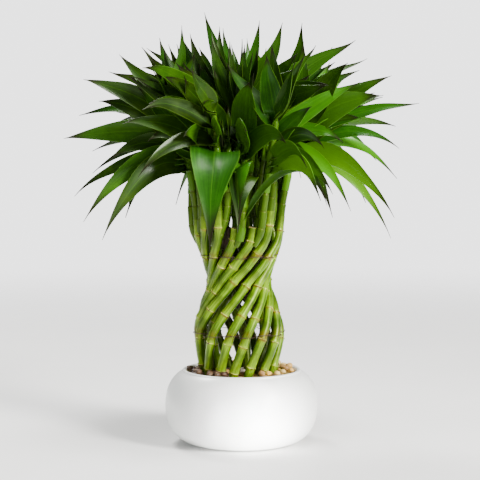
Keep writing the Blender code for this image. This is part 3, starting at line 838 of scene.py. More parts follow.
def leaf_skin(name, deep, middle, bright, sunlit, least_rough):
    """A blade's face: lengthwise veins, a pale margin, a yellow-green foot and a dark dry tip; its green is
    lighter where its tint carries painted light.
    """
    material, tree, shader, place = surface(name)
    across, upward, tint = add(tree, "SeparateXYZ", {0: attribute(tree, "blade", "Vector")}).outputs
    outer = maths(tree, "ABSOLUTE", across)
    blade = attribute(tree, "blade", "Vector")
    vein = noise(tree, stretched(tree, blade, (15, 1.1, 40)), 1.0, 4, 0.65)
    fine = noise(tree, stretched(tree, blade, (42, 2.2, 40)), 1.0, 2, 0.6)
    patch = noise(tree, place, 22, 4, 0.6)

    # The tint holds the leaf's freshness and painted light: leaves to the right are painted lighter
    fresh = ranged(tree, tint, 0.10, 0.90)
    bright = mixed(tree, fresh, (0.030, 0.058, 0.0), bright)
    margin = times(tree, ranged(tree, outer, 0.93, 0.99), ranged(tree, upward, 0.95, 0.80))
    tip_start = maths(tree, "ADD", upward, times(tree, patch, 0.10))
    tip_start = maths(tree, "ADD", tip_start, times(tree, outer, 0.03))
    colour = layered(
        tree,
        deep,
        (fresh, middle),
        (ranged(tree, patch, 0.46, 0.74, 0, 0.65), bright),
        (ranged(tree, vein, 0.42, 0.72, 0, 0.42), bright),
        (ranged(tree, fine, 0.35, 0.62, 0.40, 0), deep),
        # painted light: the highest tints get the sunlit green
        (ranged(tree, tint, 0.75, 1.45, 0, 0.60), sunlit),
        (ranged(tree, upward, 0.30, 0.02, 0, 0.75), (0.052, 0.130, 0.002)),
        (ranged(tree, outer, 0.05, 0.0, 0, 0.35), (0.050, 0.150, 0.004)),
        (times(tree, margin, 0.20), (0.130, 0.260, 0.020)),
        (ranged(tree, tip_start, 0.88, 1.02, 0, 0.95), (0.008, 0.004, 0.003)),
    )
    looks = {
        "Base Color": colour,
        "Roughness": ranged(tree, patch, 0.3, 0.7, least_rough, least_rough + 0.12),
        "Normal": bumped(tree, vein, 0.18, 0.0005, bumped(tree, patch, 0.15, 0.004)),
        "Specular IOR Level": 0.16,
        "Specular Tint": (0.60, 1.0, 0.40, 1),
        "Coat Weight": ranged(tree, tip_start, 0.86, 0.98, 0.10, 0.01),
        "Coat Roughness": 0.20,
    }
    feed(tree, shader, looks)
    return material


def wire_coat():
    """A dull brown coat, worn lighter in places."""
    material, tree, shader, place = surface("dull brown wire coat")
    wear = noise(tree, place, 300, 4)
    colour = mixed(tree, ranged(tree, wear, 0.4, 0.65), (0.020, 0.005, 0.002), (0.055, 0.018, 0.006))
    looks = {
        "Base Color": colour,
        "Roughness": ranged(tree, wear, 0.3, 0.7, 0.45, 0.7),
        "Normal": bumped(tree, wear, 0.3, 0.0002),
    }
    feed(tree, shader, looks)
    return material


def pale_floor():
    """A matt floor that fades out into the pale wall far from the plant."""
    material, tree, shader, place = surface("pale floor")
    cloud = noise(tree, place, 3, 3)
    far = add(tree, "VectorMath", {0: place}, operation="LENGTH").outputs["Value"]
    looks = {
        "Base Color": mixed(tree, ranged(tree, cloud, 0.3, 0.7), (0.80, 0.795, 0.785), (0.83, 0.825, 0.815)),
        "Roughness": 0.6,
        "Alpha": ranged(tree, far, *FLOOR_FADE, 1, 0),
    }
    feed(tree, shader, looks)
    return material


# ---- Bowl ----


def side_point(angle, inset):
    """Radius and height of the side's squarish curve at an angle above its waist."""
    power = 2 / BOWL_SQUARENESS
    rise = BOWL_LIFT if angle > 0 else BOWL_WAIST_Z
    across = abs(math.cos(angle)) ** power
    along = math.copysign(abs(math.sin(angle)) ** power, angle)
    radius = BOWL_CORE + (BOWL_SIDE - inset) * across
    return radius, BOWL_WAIST_Z + (rise - inset) * along


def rim_angle(radius, inset):
    """The angle at which the side's curve comes in to a radius."""
    across = (radius - BOWL_CORE) / (BOWL_SIDE - inset)
    return math.acos(across ** (BOWL_SQUARENESS / 2))


def bowl_outline():
    """Radius and height from the middle of the foot, up the outside, over the lip and down the inside."""
    hollow_edge, ring_edge = (FOOT_RADIUS - inset for inset in FOOT_RING)
    outline = [(0, FOOT_HOLLOW), (hollow_edge, FOOT_HOLLOW), (ring_edge, 0), (FOOT_RADIUS, 0)]
    top = rim_angle(RIM_RADIUS, 0)
    bottom = math.radians(OUTSIDE_START)
    for n in range(OUTSIDE_STEPS + 1):
        outline.append(side_point(bottom + (top - bottom) * n / OUTSIDE_STEPS, 0))
    rim_z = outline[-1][1]
    middle = RIM_RADIUS - BOWL_WALL / 2
    for n in range(1, LIP_STEPS):
        turn = math.pi * n / LIP_STEPS
        outline.append((middle + BOWL_WALL / 2 * math.cos(turn), rim_z + LIP_ROUND * math.sin(turn)))
    top = rim_angle(RIM_RADIUS - BOWL_WALL, BOWL_WALL)
    bottom = math.radians(INSIDE_END)
    for n in range(INSIDE_STEPS + 1):
        outline.append(side_point(top + (bottom - top) * n / INSIDE_STEPS, BOWL_WALL))
    return outline + [(0, BOWL_WALL)]


def make_bowl(glaze):
    """The outline is drawn by extruding one corner from point to point, and spun round the middle."""
    outline = bowl_outline()
    deselect_all()
    bpy.ops.mesh.primitive_plane_add(size=0.001, location=(0, 0, outline[0][1]))
    bowl = named("glazed_bowl")
    settle(bowl)
    edit(bowl)
    bpy.ops.mesh.merge(type="CENTER")
    for (radius, height), (next_radius, next_height) in zip(outline, outline[1:]):
        step = (next_radius - radius, 0, next_height - height)
        bpy.ops.mesh.extrude_region_move(TRANSFORM_OT_translate={"value": step})
    bpy.ops.mesh.select_all(action="SELECT")
    bpy.ops.mesh.spin(steps=BOWL_STEPS, angle=math.tau, center=(0, 0, 0), axis=(0, 0, 1))
    end_edit()
    clean(bowl, 1e-5)
    coat_with(bowl, glaze)
    smooth(bowl, 35)
    finish_piece(bowl, "bowl", "bowl")


# ---- Pebbles ----


def pebble_blank(number):
    """A water-worn stone of unit size: a ball, flattened and gently dented."""
    deselect_all()
    bpy.ops.mesh.primitive_ico_sphere_add(subdivisions=2, radius=1)
    blank = named(f"pebble_blank_{number}")
    edit(blank)
    bpy.ops.transform.resize(value=(1.12, 0.94, 0.74 + 0.06 * (number % 3)))
    bpy.ops.transform.vertex_random(offset=0.16, uniform=0.4, normal=0.6, seed=number)
    bpy.ops.mesh.vertices_smooth(factor=0.5, repeat=1)
    end_edit()
    return blank


def pebble_places(canes, chance):
    """Place and half size of each pebble: first CAD's, then more wherever there's room between the canes."""
    taken = []
    for number in range(1, CAD_PEBBLES + 1):
        low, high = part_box(f"pebble_{number:02d}")
        taken.append(((Vector(low) + Vector(high)) / 2, max(high[0] - low[0], high[1] - low[1]) / 2))
    bed_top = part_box("pebble_bed")[1][2]
    holes = [ring_point(PEBBLE_Z, cane["turn"]) for cane in canes]
    for lift, tries, smallest, largest, start in PEBBLE_LAYERS:
        for _ in range(tries):
            turn = chance.uniform(0, math.tau)
            reach = PEBBLE_AREA * math.sqrt(chance.uniform(0, 1))
            size = chance.uniform(smallest, largest)
            place = Vector((reach * math.sin(turn), -reach * math.cos(turn), bed_top + lift))
            in_gap = place.y < GAP_BACK and abs(place.x) < GAP_HALF
            if reach < start or (start and in_gap):
                continue
            room = CANE_ROOM + OFF_CANES * size
            clear = all(math.dist(place.xy, hole.xy) > room for hole in holes)
            apart = all((place - other).length > OFF_PEBBLES * (size + wide) for other, wide in taken)
            if clear and apart and reach + size < PEBBLE_EDGE:
                taken.append((place, size))
    return taken


def make_pebbles(canes, stone):
    """Pebbles are copies of a few blanks, and those of one kind are one piece."""
    chance = random.Random(21)
    blanks = [pebble_blank(number) for number in range(PEBBLE_KINDS)]
    groups = [[] for _ in range(PEBBLE_KINDS)]
    for number, (place, size) in enumerate(pebble_places(canes, chance)):
        kind = number % PEBBLE_KINDS
        pebble = copy_of(blanks[kind], "pebble")
        turn = Matrix.Rotation(chance.uniform(0, math.tau), 4, "Z")
        tilt = Matrix.Rotation(chance.uniform(-0.35, 0.35), 4, "X")
        pebble.data.transform(Matrix.Translation(place) @ turn @ tilt @ Matrix.Scale(size, 4))
        shade = chance.uniform(0, 1)
        # Most pebbles on the left are dark red, partly their own colour and partly painted shade from the
        # bowl's wall; those on the right keep to the paler shades
        if place.x < -MIDDLE_HALF and chance.uniform(0, 1) < RED_AND_SHADOW_SHARE:
            shade = RED_SHADES[0] + RED_SHADES[1] * shade
        elif place.x > MIDDLE_HALF:
            shade *= PALE_SHADES
        put_everywhere(pebble, "stone", shade)
        groups[kind].append(pebble)
    for kind, pebbles in enumerate(groups):
        group = join(pebbles, f"river_pebbles_{kind + 1}")
        coat_with(group, stone)
        smooth(group)
        own = [f"pebble_{number:02d}" for number in range(1 + kind, CAD_PEBBLES + 1, PEBBLE_KINDS)]
        finish_piece(group, "pebbles", *own)
    throw_away(*blanks)


# ---- The plan of canes, shoots and leaves ----


def blended(before, start, end, after, share):
    """A smooth curve from start to end, which follows on from the numbers before and after."""
    return 0.5 * (
        2 * start
        + (end - before) * share
        + (2 * before - 5 * start + 4 * end - after) * share**2
        + (3 * start - before - 3 * end + after) * share**3
    )


def path_at(height):
    """Ring radius and turn, in radians from the tie, of the canes' common path at a height."""
    last = len(CANE_PATH) - 1
    step = next((n for n in range(last) if height <= CANE_PATH[n + 1][0]), last - 1)
    low, high = CANE_PATH[step], CANE_PATH[step + 1]
    before, after = CANE_PATH[max(step - 1, 0)], CANE_PATH[min(step + 2, last)]
    share = (height - low[0]) / (high[0] - low[0])
    radius, turn = (blended(before[k], low[k], high[k], after[k], share) for k in (1, 2))
    return radius, math.radians(turn)


def round_ring(radius, turn, height):
    """A place round the ring's middle, whose turn runs clockwise from the front."""
    return RING_OFFSET + Vector((radius * math.sin(turn), -radius * math.cos(turn), height))


def ring_point(height, start_turn, outward=0.0, sideways=0.0):
    """A place on the path of the cane that stands at a turn, or next to it."""
    radius, turn = path_at(height)
    return round_ring(radius + outward, turn + (start_turn + sideways / radius), height)


def plan_canes():
    """Each cane's turn round the ring, radius, top and shift of its rings, which vary a little."""
    canes = []
    for number, degrees in enumerate(CANE_TURNS):
        top = CUT_TOP_Z if number in CUT_CANES else CANE_TOP_Z
        cane = {
            "turn": math.radians(degrees),
            "radius": CANE_RADIUS * (1 + 0.03 * math.sin(2.4 * number)),
            "top": top + 0.006 * math.sin(1.7 * number),
            "shift": 0.004 * math.sin(3.1 * number),
        }
        canes.append(cane)
    return canes


def plan_shoot(number, cane):
    """The line of a cane's shoot, on top of it or beside its cut end."""
    lean = INWARD_LEAN if number % 2 else OUTWARD_LEAN
    beside = 0.0
    bottom = cane["top"] + SHOOT_GAP
    if number in CUT_CANES:
        beside = (cane["radius"] * NODE_SWELL + SHOOT_RADII[0] + 2 * GAP) * math.sqrt(0.5)
        bottom = SIDE_SHOOT_Z
    top = SHOOT_TOP_Z + 0.010 * math.sin(2.2 * number)
    steps = len(SHOOT_RADII) - 1
    line = []
    for n in range(steps + 1):
        share = n / steps
        height = bottom + (top - bottom) * share
        outward = beside + lean * share**LEAN_POWER
        line.append(ring_point(height, cane["turn"], outward, beside))
    return line


def along(line, share):
    """Place and direction at a share of a line of points."""
    place = min(share, 0.9999) * (len(line) - 1)
    step = int(place)
    start, end = line[step], line[step + 1]
    return start.lerp(end, place - step), (end - start).normalized()


def leaf_width(share):
    """Half width of CAD's blade as a part of its greatest."""
    blade = share**1.1 * (1 - share) ** 1.4 / 0.18
    return max(PETIOLE_SHARE * (1 - share), blade)


def midrib(leaf):
    """The four control points of the leaf's midrib, and the level direction across its blade."""
    base, rising = along(leaf["shoot"], leaf["joint"])
    chord = leaf["tip"] - base
    pull = base + rising * (chord.length * PULL_SHARE)
    crest = base + chord * CREST_SHARE + UP * leaf["arch"]
    heading = Vector((chord.x, chord.y, 0))
    if heading.length < 0.02:  # a leaf that stands nearly upright
        heading = Vector((base.x, base.y, 0))
    return (base, pull, crest, leaf["tip"]), UP.cross(heading.normalized())


def midrib_frame(points, level, roll, share):
    """Place, forward, side and upward normal at a share of the midrib."""
    base, pull, crest, tip = points
    rest = 1 - share
    place = (
        base * rest**3
        + pull * (3 * rest**2 * share)
        + crest * (3 * rest * share**2)
        + tip * share**3
    )
    forward = (
        (pull - base) * rest**2 + (crest - pull) * (2 * rest * share) + (tip - crest) * share**2
    ).normalized()
    turn = Matrix.Rotation(roll * min(1, share / ROLL_SHARE), 3, forward)
    side = turn @ (level - forward * level.dot(forward)).normalized()
    return place, forward, side, forward.cross(side)


def front_roll(leaf):
    """The roll at which a leaf's upper face looks to the front halfway along."""
    points, level = midrib(leaf)
    _, forward, _, normal = midrib_frame(points, level, 0.0, 0.5)
    front = Vector((0, -1, 0))
    front = (front - forward * forward.dot(front)).normalized()
    return math.atan2(forward.dot(normal.cross(front)), normal.dot(front))


def turn_to_front(leaf, share):
    """Turns a leaf by a share of the way that would bring its face to the front."""
    leaf["roll"] += share * (front_roll(leaf) - leaf["roll"])


def leaf_plan(tip, arch, width, roll, twist=SET_TWIST, **growth):
    """One leaf: its tip, arch, width, roll and twist, and the shoot and joint that it grows from."""
    return {"tip": tip, "arch": arch, "width": width, "roll": roll, "twist": twist, **growth}


def wanted_leaves():
    """The leaves that CAD tries to place: first the listed ones, then those set by rule."""
    wanted = [
        leaf_plan(Vector((x, y, z)) / 1000, arch / 1000, width / 1000, math.radians(roll))
        for x, y, z, arch, width, roll in SET_LEAVES
    ]
    chance = random.Random(11)
    golden = math.pi * (3 - math.sqrt(5))
    for places, radius, rise, lowest, highest, spacing, front in DOMES:
        for number in range(places):
            climb = lowest + (highest - lowest) * (number + 0.5) / places
            turn = golden * number
            flat = radius * math.sqrt(1 - climb**2) * chance.uniform(0.92, 1.04)
            height = rise * climb * chance.uniform(0.94, 1.04)
            side = Vector((flat * math.sin(turn), flat * math.cos(turn), height))
            arch = max(0, 0.55 - climb) * 0.075 + chance.uniform(0, 0.012)
            width = chance.uniform(0.022, 0.036)
            roll = math.radians(chance.uniform(-45, 45))
            leaf = leaf_plan(DOME_CENTRE + side, arch, width, roll, RULE_TWIST)
            crowded = any((leaf["tip"] - other["tip"]).length < spacing for other in wanted)
            if side.y > front and not crowded:
                wanted.append(leaf)
    return wanted


def nearest_crowns(leaf, shoots, free):
    """The crowns with a free joint that a leaf is tried on, the best one first."""
    aim = leaf["tip"] * AIM_SHARE

    def cost(number):
        top = along(shoots[number], CROWN_SHARE)[0]
        taken = len(JOINTS) - len(free[number])
        return math.hypot(top.x - aim.x, top.y - aim.y) + CROWDING * taken

    return sorted((n for n in range(len(shoots)) if free[n]), key=cost)[:CROWNS_TRIED]


def placements(leaf, shoots, free):
    """A leaf's possible placements, in the order in which CAD tries them."""
    climb = (leaf["tip"].z - LOWEST_TIP_Z) / (HIGHEST_TIP_Z - LOWEST_TIP_Z)
    best = JOINTS[0] + (JOINTS[-1] - JOINTS[0]) * climb
    outward = Vector((leaf["tip"].x, leaf["tip"].y, 0)).normalized()
    across = UP.cross(outward)
    for narrowing in NARROWINGS:
        for crown in nearest_crowns(leaf, shoots, free):
            joint = min(free[crown], key=lambda joint: abs(joint - best))
            for nudge in NUDGES:
                placed = dict(leaf)
                placed["shoot"] = shoots[crown]
                placed["joint"] = joint
                placed["width"] = leaf["width"] * narrowing
                placed["tip"] = leaf["tip"] + across * nudge.x + UP * nudge.y
                yield crown, placed


def corners_of(node):
    """A tree of a CAD node's corners, to look places up in."""
    mesh = frame["nodes"][node].data
    tree = KDTree(len(mesh.vertices))
    for corner in mesh.vertices:
        tree.insert(corner.co, corner.index)
    tree.balance()
    return tree


def stands_there(leaf, tree):
    """Whether a crown has corners at a leaf's tip and at the edge of its blade."""
    if tree.find(leaf["tip"])[2] > MATCH:
        return False
    points, level = midrib(leaf)
    place, _, side, normal = midrib_frame(points, level, leaf["roll"], EDGE_SHARE)
    reach = leaf["width"] / 2 * leaf_width(EDGE_SHARE)
    return tree.find(place + side * reach + normal * (reach * LEAF_FOLD))[2] <= MATCH


def face_front(leaf):
    """Turns listed leaves, and those set by rule in the front half, towards the front."""
    by_hand = leaf["twist"] == SET_TWIST
    if by_hand and leaf["width"] > BROAD_LEAF:
        turn_to_front(leaf, FRONT_SHARE)
        leaf["width"] *= FRONT_WIDTH
    elif by_hand or leaf["tip"].y < FRONT_HALF:
        turn_to_front(leaf, NARROW_FRONT_SHARE)
        leaf["twist"] = SET_TWIST


def find_leaves(shoots):
    """Each crown's leaves, found by trying the placements until CAD's crown has its corners there.

    They get back the tip and width that were asked for, which CAD changes where leaves would touch.
    """
    trees = [corners_of(f"crown_{number + 1:02d}") for number in range(len(shoots))]
    grown = [[] for _ in shoots]
    free = [list(JOINTS) for _ in shoots]
    for leaf in wanted_leaves():
        for crown, placed in placements(leaf, shoots, free):
            if stands_there(placed, trees[crown]):
                free[crown].remove(placed["joint"])
                placed["tip"], placed["width"] = leaf["tip"], leaf["width"]
                face_front(placed)
                grown[crown].append(placed)
                break
    return grown


# ---- Canes ----


def straight_rod(name, sides, profile, parts):
    """A rod of unit radius, one unit long for each part, drawn up ring by ring from a filled circle."""
    deselect_all()
    bpy.ops.mesh.primitive_circle_add(vertices=sides, radius=profile[0][1], fill_type="NGON")
    rod = named(name)
    edit(rod)
    height, radius = 0.0, profile[0][1]
    stations = [(part + place, size) for part in range(parts) for place, size in profile][1:]
    for place, size in stations + [(parts, profile[-1][1])]:
        step = (0, 0, place - height)
        bpy.ops.mesh.extrude_region_move(TRANSFORM_OT_translate={"value": step})
        bpy.ops.transform.resize(value=(size / radius, size / radius, 1))
        height, radius = place, size
    end_edit()
    clean(rod)
    return rod


def frame_along(curve, share):
    """Place, and the two directions square to a curve, at a share of it; the curve is a function."""
    step = 0.004
    place = curve(share)
    forward = (curve(share + step) - curve(share - step)).normalized()
    side = forward.cross(Vector((0, 1, 0))).normalized()
    return place, side, forward.cross(side)


def bend_rod(rod, length, curve, radius):
    """Lays a straight rod along a curve, and keeps each corner's place on the straight rod."""
    kept = [tuple(corner.co) for corner in rod.data.vertices]
    put_attribute(rod, "rod", kept)
    frames = {}
    for corner, (x, y, z) in zip(rod.data.vertices, kept):
        share = round(z / length, 6)
        if share not in frames:
            frames[share] = frame_along(curve, share), radius(share)
        (place, side, other), size = frames[share]
        corner.co = place + (side * x + other * y) * size


def facing(corner, radius):
    """1 where a cane's skin looks out of the ring, -1 where it looks in."""
    return ((corner - RING_OFFSET).xy.length - path_at(corner.z)[0]) / radius


def bud_blank():
    """A dry root bud of unit size: a ball, drawn out along z and roughened."""
    deselect_all()
    bpy.ops.mesh.primitive_ico_sphere_add(subdivisions=1, radius=1)
    blank = named("bud_blank")
    edit(blank)
    bpy.ops.transform.resize(value=(1.0, 0.7, 1.3))
    bpy.ops.transform.vertex_random(offset=0.25, uniform=0.5, normal=0.5, seed=3)
    end_edit()
    return blank


def buds_on(curve, radius, blank, chance):
    """Buds round each of a cane's rings, pressed half into its skin."""
    buds = []
    for ring in range(CANE_RINGS):
        place, side, other = frame_along(curve, (ring + BUD_RING) / CANE_RINGS)
        for _ in range(BUDS_PER_RING):
            turn = chance.uniform(0, math.tau)
            size = chance.uniform(*BUD_SIZES)
            out = side * math.cos(turn) + other * math.sin(turn)
            across = out.cross(side.cross(other)).normalized()
            upright = Matrix((across, across.cross(out), out)).transposed().to_4x4()
            bud = copy_of(blank, "bud")
            spot = Matrix.Translation(place + out * (radius * BUD_REACH))
            bud.data.transform(spot @ upright @ Matrix.Scale(size, 4))
            buds.append(bud)
    return buds


def cane_curve(cane):
    """The curve of one cane, which bends a little at each ring."""
    bottom = CANE_PATH[0][0]
    span = cane["top"] - bottom

    def curve(share):
        inner = 16 * min(share, 1 - share)  # the rings' shift fades out towards both ends
        height = bottom + span * share + cane["shift"] * max(0, min(1, inner))
        swing = 1 - 2 * abs((share * CANE_RINGS - 0.5) % 2 - 1)
        return ring_point(height, cane["turn"], 0.0, CANE_KINK * swing)

    return curve


def dish_end(piece):
    """Gives the face of a cut cane a raised rim and a shallow hollow."""
    work_on(piece)
    bpy.ops.object.mode_set(mode="EDIT")
    bpy.ops.mesh.select_all(action="DESELECT")
    end_edit()
    for face in piece.data.polygons:
        face.select = face.material_index == 1
    bpy.ops.object.mode_set(mode="EDIT")
    bpy.ops.mesh.inset(thickness=0.0006, depth=0.0003)
    bpy.ops.mesh.inset(thickness=0.0012, depth=-0.0004)
    end_edit()


def make_canes(canes, skin, end, dry):
    """Canes are bent from one straight rod with rings, and dry root buds sit on their rings."""
    rod = straight_rod("cane_blank", CANE_SIDES, CANE_PROFILE, CANE_RINGS)
    bud = bud_blank()
    buds = []
    bud_chance = random.Random(8)
    chance = random.Random(5)
    names = [f"cane_{number + 1:02d}" for number in range(len(canes))]
    for number, (name, cane) in enumerate(zip(names, canes)):
        piece = copy_of(rod, f"ringed_{name}")
        curve = cane_curve(cane)
        radius = cane["radius"] * CANE_FULLNESS
        bend_rod(piece, CANE_RINGS, curve, lambda share, radius=radius: radius)
        put_everywhere(piece, "tint", chance.uniform(0, 1))
        # which way the skin looks, out of or into the ring, masks the painted shade on the inner side
        put_attribute(piece, "facing", [facing(c.co, cane["radius"]) for c in piece.data.vertices])
        coat_with(piece, skin, end)
        for face in piece.data.polygons:
            if len(face.vertices) > 4 and face.center.z > END_FACE_Z:
                face.material_index = 1
        if number in CUT_CANES:
            dish_end(piece)
        smooth(piece, 50)
        finish_piece(piece, "cane", name)
        buds += buds_on(curve, radius, bud, bud_chance)
    root_buds = join(buds, "dry_root_buds")
    clean(root_buds)
    coat_with(root_buds, dry)
    smooth(root_buds)
    finish_piece(root_buds, "cane", *names)
    throw_away(bud, rod)


def make_core(dry, fresh):
    """Old stumps, dry or still green, stand inside the waist: a dark filler that paints shade into the gaps
    between the canes.
    """
    for number in range(STUMPS):
        green = number % 2
        low, high, rings = STUMP_SPANS[green]
        piece = straight_rod(f"inner_shade_stump_{number + 1}", CANE_SIDES, CANE_PROFILE, rings)
        start = math.tau * (number + 0.35) / STUMPS

        def curve(share, start=start, low=low, high=high):
            return ring_point(low + (high - low) * share, start, -STUMP_INSET)

        bend_rod(piece, rings, curve, lambda share: STUMP_RADIUS - STUMP_TAPER * abs(2 * share - 1) ** 3)
        put_everywhere(piece, "tint", 0.0)
        coat_with(piece, fresh if green else dry)
        smooth(piece, 50)
        finish_piece(piece, "cane", f"cane_{number + 1:02d}")


# ---- Ties ----


def make_tie(name, height, phase, coat):
    """A wire strand that runs outside one cane and inside the next, all the way round."""
    count = len(CANE_TURNS)
    ring_radius, twist = path_at(height)
    reach = CANE_RADIUS * CANE_FULLNESS * WIRE_ROOM + COAT_RADIUS
    corners = []
    for number, here in enumerate(CANE_TURNS):
        step = (CANE_TURNS[(number + 1) % count] - here) % 360
        for part in range(WIRE_STEPS):
            share = part / WIRE_STEPS
            weave = math.cos(math.pi * (number + share + phase))
            weave = math.copysign(min(1, WIRE_PUSH * abs(weave)), weave)
            turn = math.radians(here + step * share) + twist
            sag = WIRE_SAG * math.sin(9 * turn + phase)
            corners.append(round_ring(ring_radius + reach * weave, turn, height + sag))
    curve = bpy.data.curves.new(name, "CURVE")
    curve.dimensions = "3D"
    curve.bevel_depth = COAT_RADIUS
    curve.bevel_resolution = 2
    spline = curve.splines.new("POLY")
    spline.points.add(len(corners) - 1)
    for point, corner in zip(spline.points, corners):
        point.co = (*corner, 1)
    spline.use_cyclic_u = True
    work_on(put_in_scene(name, curve))
    bpy.ops.object.convert(target="MESH")
    wire = named(name)
    clean(wire)
    coat_with(wire, coat)
    smooth(wire)
    return wire


# ---- Shoots and leaves ----


def shoot_place(line, share):
    """Place and direction at a share of a shoot's line, which runs on straight past both ends."""
    place, forward = along(line, max(0, min(1, share)))
    return place + forward * (RUN_ON * (min(0, share) + max(0, share - 1))), forward


def first_curve(line, cane, beside):
    """The curve of a cane's first shoot: its foot bends in to the stub, or reaches down over the cane."""

    def curve(share):
        place, forward = shoot_place(line, share)
        if beside:
            bend, bent_part = SIDE_BEND
            inward = ring_point(place.z, cane["turn"]) - place
            return place + inward * (bend * max(0, 1 - share / bent_part) ** 2)
        return place - forward * (SHOOT_OVERLAP * (1 - share) ** 6)

    return curve


def radius_at(radii, share, foot):
    """A shoot's radius, with the foot's factor in its lowest part."""
    place = min(share, 0.999) * (len(radii) - 1)
    step = int(place)
    factor, foot_part = foot
    return (radii[step] + (radii[step + 1] - radii[step]) * (place - step)) * (
        factor + (1 - factor) * min(1, share / foot_part)
    )


def sheathed_shoot(name, blank, crown, curve, radii, foot, tint, skin):
    piece = copy_of(blank, name)
    bend_rod(piece, SHEATHS, curve, lambda share: radius_at(radii, share, foot))
    put_everywhere(piece, "tint", tint)
    coat_with(piece, skin)
    smooth(piece, 60)
    finish_piece(piece, "leaf", f"crown_{crown:02d}")


def make_shoots(canes, shoots, seconds, skin):
    """Each shoot is a stack of sheaths, from just below its cane's end to its growing tip."""
    blank = straight_rod("shoot_blank", SHOOT_SIDES, SHOOT_PROFILE, SHEATHS)
    chance = random.Random(6)
    for number, (cane, line) in enumerate(zip(canes, shoots)):
        name = f"shoot_{number + 1:02d}"
        beside = number in CUT_CANES
        foot = SIDE_FOOT if beside else TOP_FOOT
        curve = first_curve(line, cane, beside)
        sheathed_shoot(name, blank, number + 1, curve, SHOOT_RADII, foot, chance.uniform(0, 1), skin)
    for number, line in enumerate(seconds):
        name = f"second_shoot_{number + 1:02d}"
        crown = number % len(canes) + 1

        def curve(share, line=line):
            return shoot_place(line, share)[0]

        sheathed_shoot(name, blank, crown, curve, SECOND_RADII, SECOND_FOOT, chance.uniform(0, 1), skin)
    throw_away(blank)


def eased(value):
    """Goes smoothly from 0 to 1 as the value does."""
    value = max(0.0, min(1.0, value))
    return value * value * (3 - 2 * value)


def leaf_blank():
    """A flat sheet: x runs across the blade from -1 to 1, and y along it from 0 to 1."""
    deselect_all()
    bpy.ops.mesh.primitive_grid_add(x_subdivisions=LEAF_ACROSS, y_subdivisions=LEAF_ALONG, size=2)
    blank = named("leaf_blank")
    edit(blank)
    bpy.ops.transform.translate(value=(0, 1, 0))
    bpy.ops.transform.resize(value=(1, 0.5, 1), center_override=(0, 0, 0))
    end_edit()
    return blank


def blade_width(share):
    """Half width of the drawn blade as a part of its greatest: fuller than CAD's, with a long point."""
    blade = share**0.85 * (1 - share**1.5) ** 1.45 / 0.302
    return max(PETIOLE_SHARE * (1 - share), blade, 0.012)


def shape_leaf(sheet, leaf, tint, waves, stem_radius):
    """Curls the sheet's foot round the shoot, opens it into a folded blade and draws out its point."""
    points, level = midrib(leaf)
    base, rising = along(leaf["shoot"], leaf["joint"])
    length = (leaf["tip"] - base).length
    put_attribute(sheet, "blade", [(c.co.x, c.co.y, tint) for c in sheet.data.vertices])
    rows = {}
    for corner in sheet.data.vertices:
        across, row = corner.co.x, round(corner.co.y, 5)
        if row not in rows:
            share = (row - SHEATH_SHARE) / (1 - SHEATH_SHARE)
            shown = max(0, share)
            roll = leaf["roll"] + waves[3] * eased((share - 0.40) / 0.60)
            place, _, side, normal = midrib_frame(points, level, roll, shown)
            if share < 0:
                place = place + rising * (SHEATH_LENGTH * share * (1 - SHEATH_SHARE) / SHEATH_SHARE)
            middle = 4 * shown * (1 - shown)
            sway = BLADE_SWAY * middle * math.sin(math.tau * (0.8 * share + waves[0]))
            sway += TIP_SWAY * (waves[0] - 0.5) * eased((share - 0.74) / 0.26)
            lift = BLADE_WAVE * middle * math.sin(math.tau * (1.1 * share + waves[1]))
            lift += TIP_LIFT * (waves[2] - 0.5) * eased((share - 0.62) / 0.38)
            place = place + side * (length * sway) + normal * (length * lift)
            opened = eased(share / UNROLLED)
            wrap = SHEATH_WRAP + (GUTTER * (1 - 0.4 * share) - SHEATH_WRAP) * opened
            half = leaf["width"] / 2 * blade_width(shown) * opened
            half += stem_radius * SHEATH_WRAP * (1 - opened) * (1 - 0.45 * eased(share / 0.10))
            rows[row] = (share, place, side, normal, half, half / wrap, wrap)
        share, place, side, normal, half, curl, wrap = rows[row]
        ripple = EDGE_RIPPLE * half * math.sin(math.tau * (2.6 * share + waves[2]) + across)
        ripple *= abs(across) ** 2 * eased((share - 0.2) / 0.2)
        centred = curl * eased(share / 0.12)
        corner.co = (
            place
            + side * (curl * math.sin(across * wrap))
            + normal * (centred - curl * math.cos(across * wrap) + ripple)
        )


def young_leaves(shoot, chance):
    """Narrow new leaves that stand nearly straight up out of the shoot's top."""
    found = []
    top = along(shoot, SHOOT_TIP)[0]
    for number in range(YOUNG_LEAVES):
        turn = chance.uniform(0, math.tau)
        reach = chance.uniform(*YOUNG_REACH)
        height = chance.uniform(*YOUNG_HEIGHT) * (LOW_FACTOR if top.x < LOW_SIDE else 1)
        lean = Vector((math.sin(turn) * reach, math.cos(turn) * reach, height))
        tip = top + lean + Vector((top.x, top.y, 0)) * YOUNG_LEAN
        width = chance.uniform(*YOUNG_WIDTH)
        roll = chance.uniform(-YOUNG_ROLL, YOUNG_ROLL)
        joint = SHOOT_TIP - 0.03 * number
        found.append(leaf_plan(tip, 0.0, width, roll, RULE_TWIST, shoot=shoot, joint=joint))
    return found


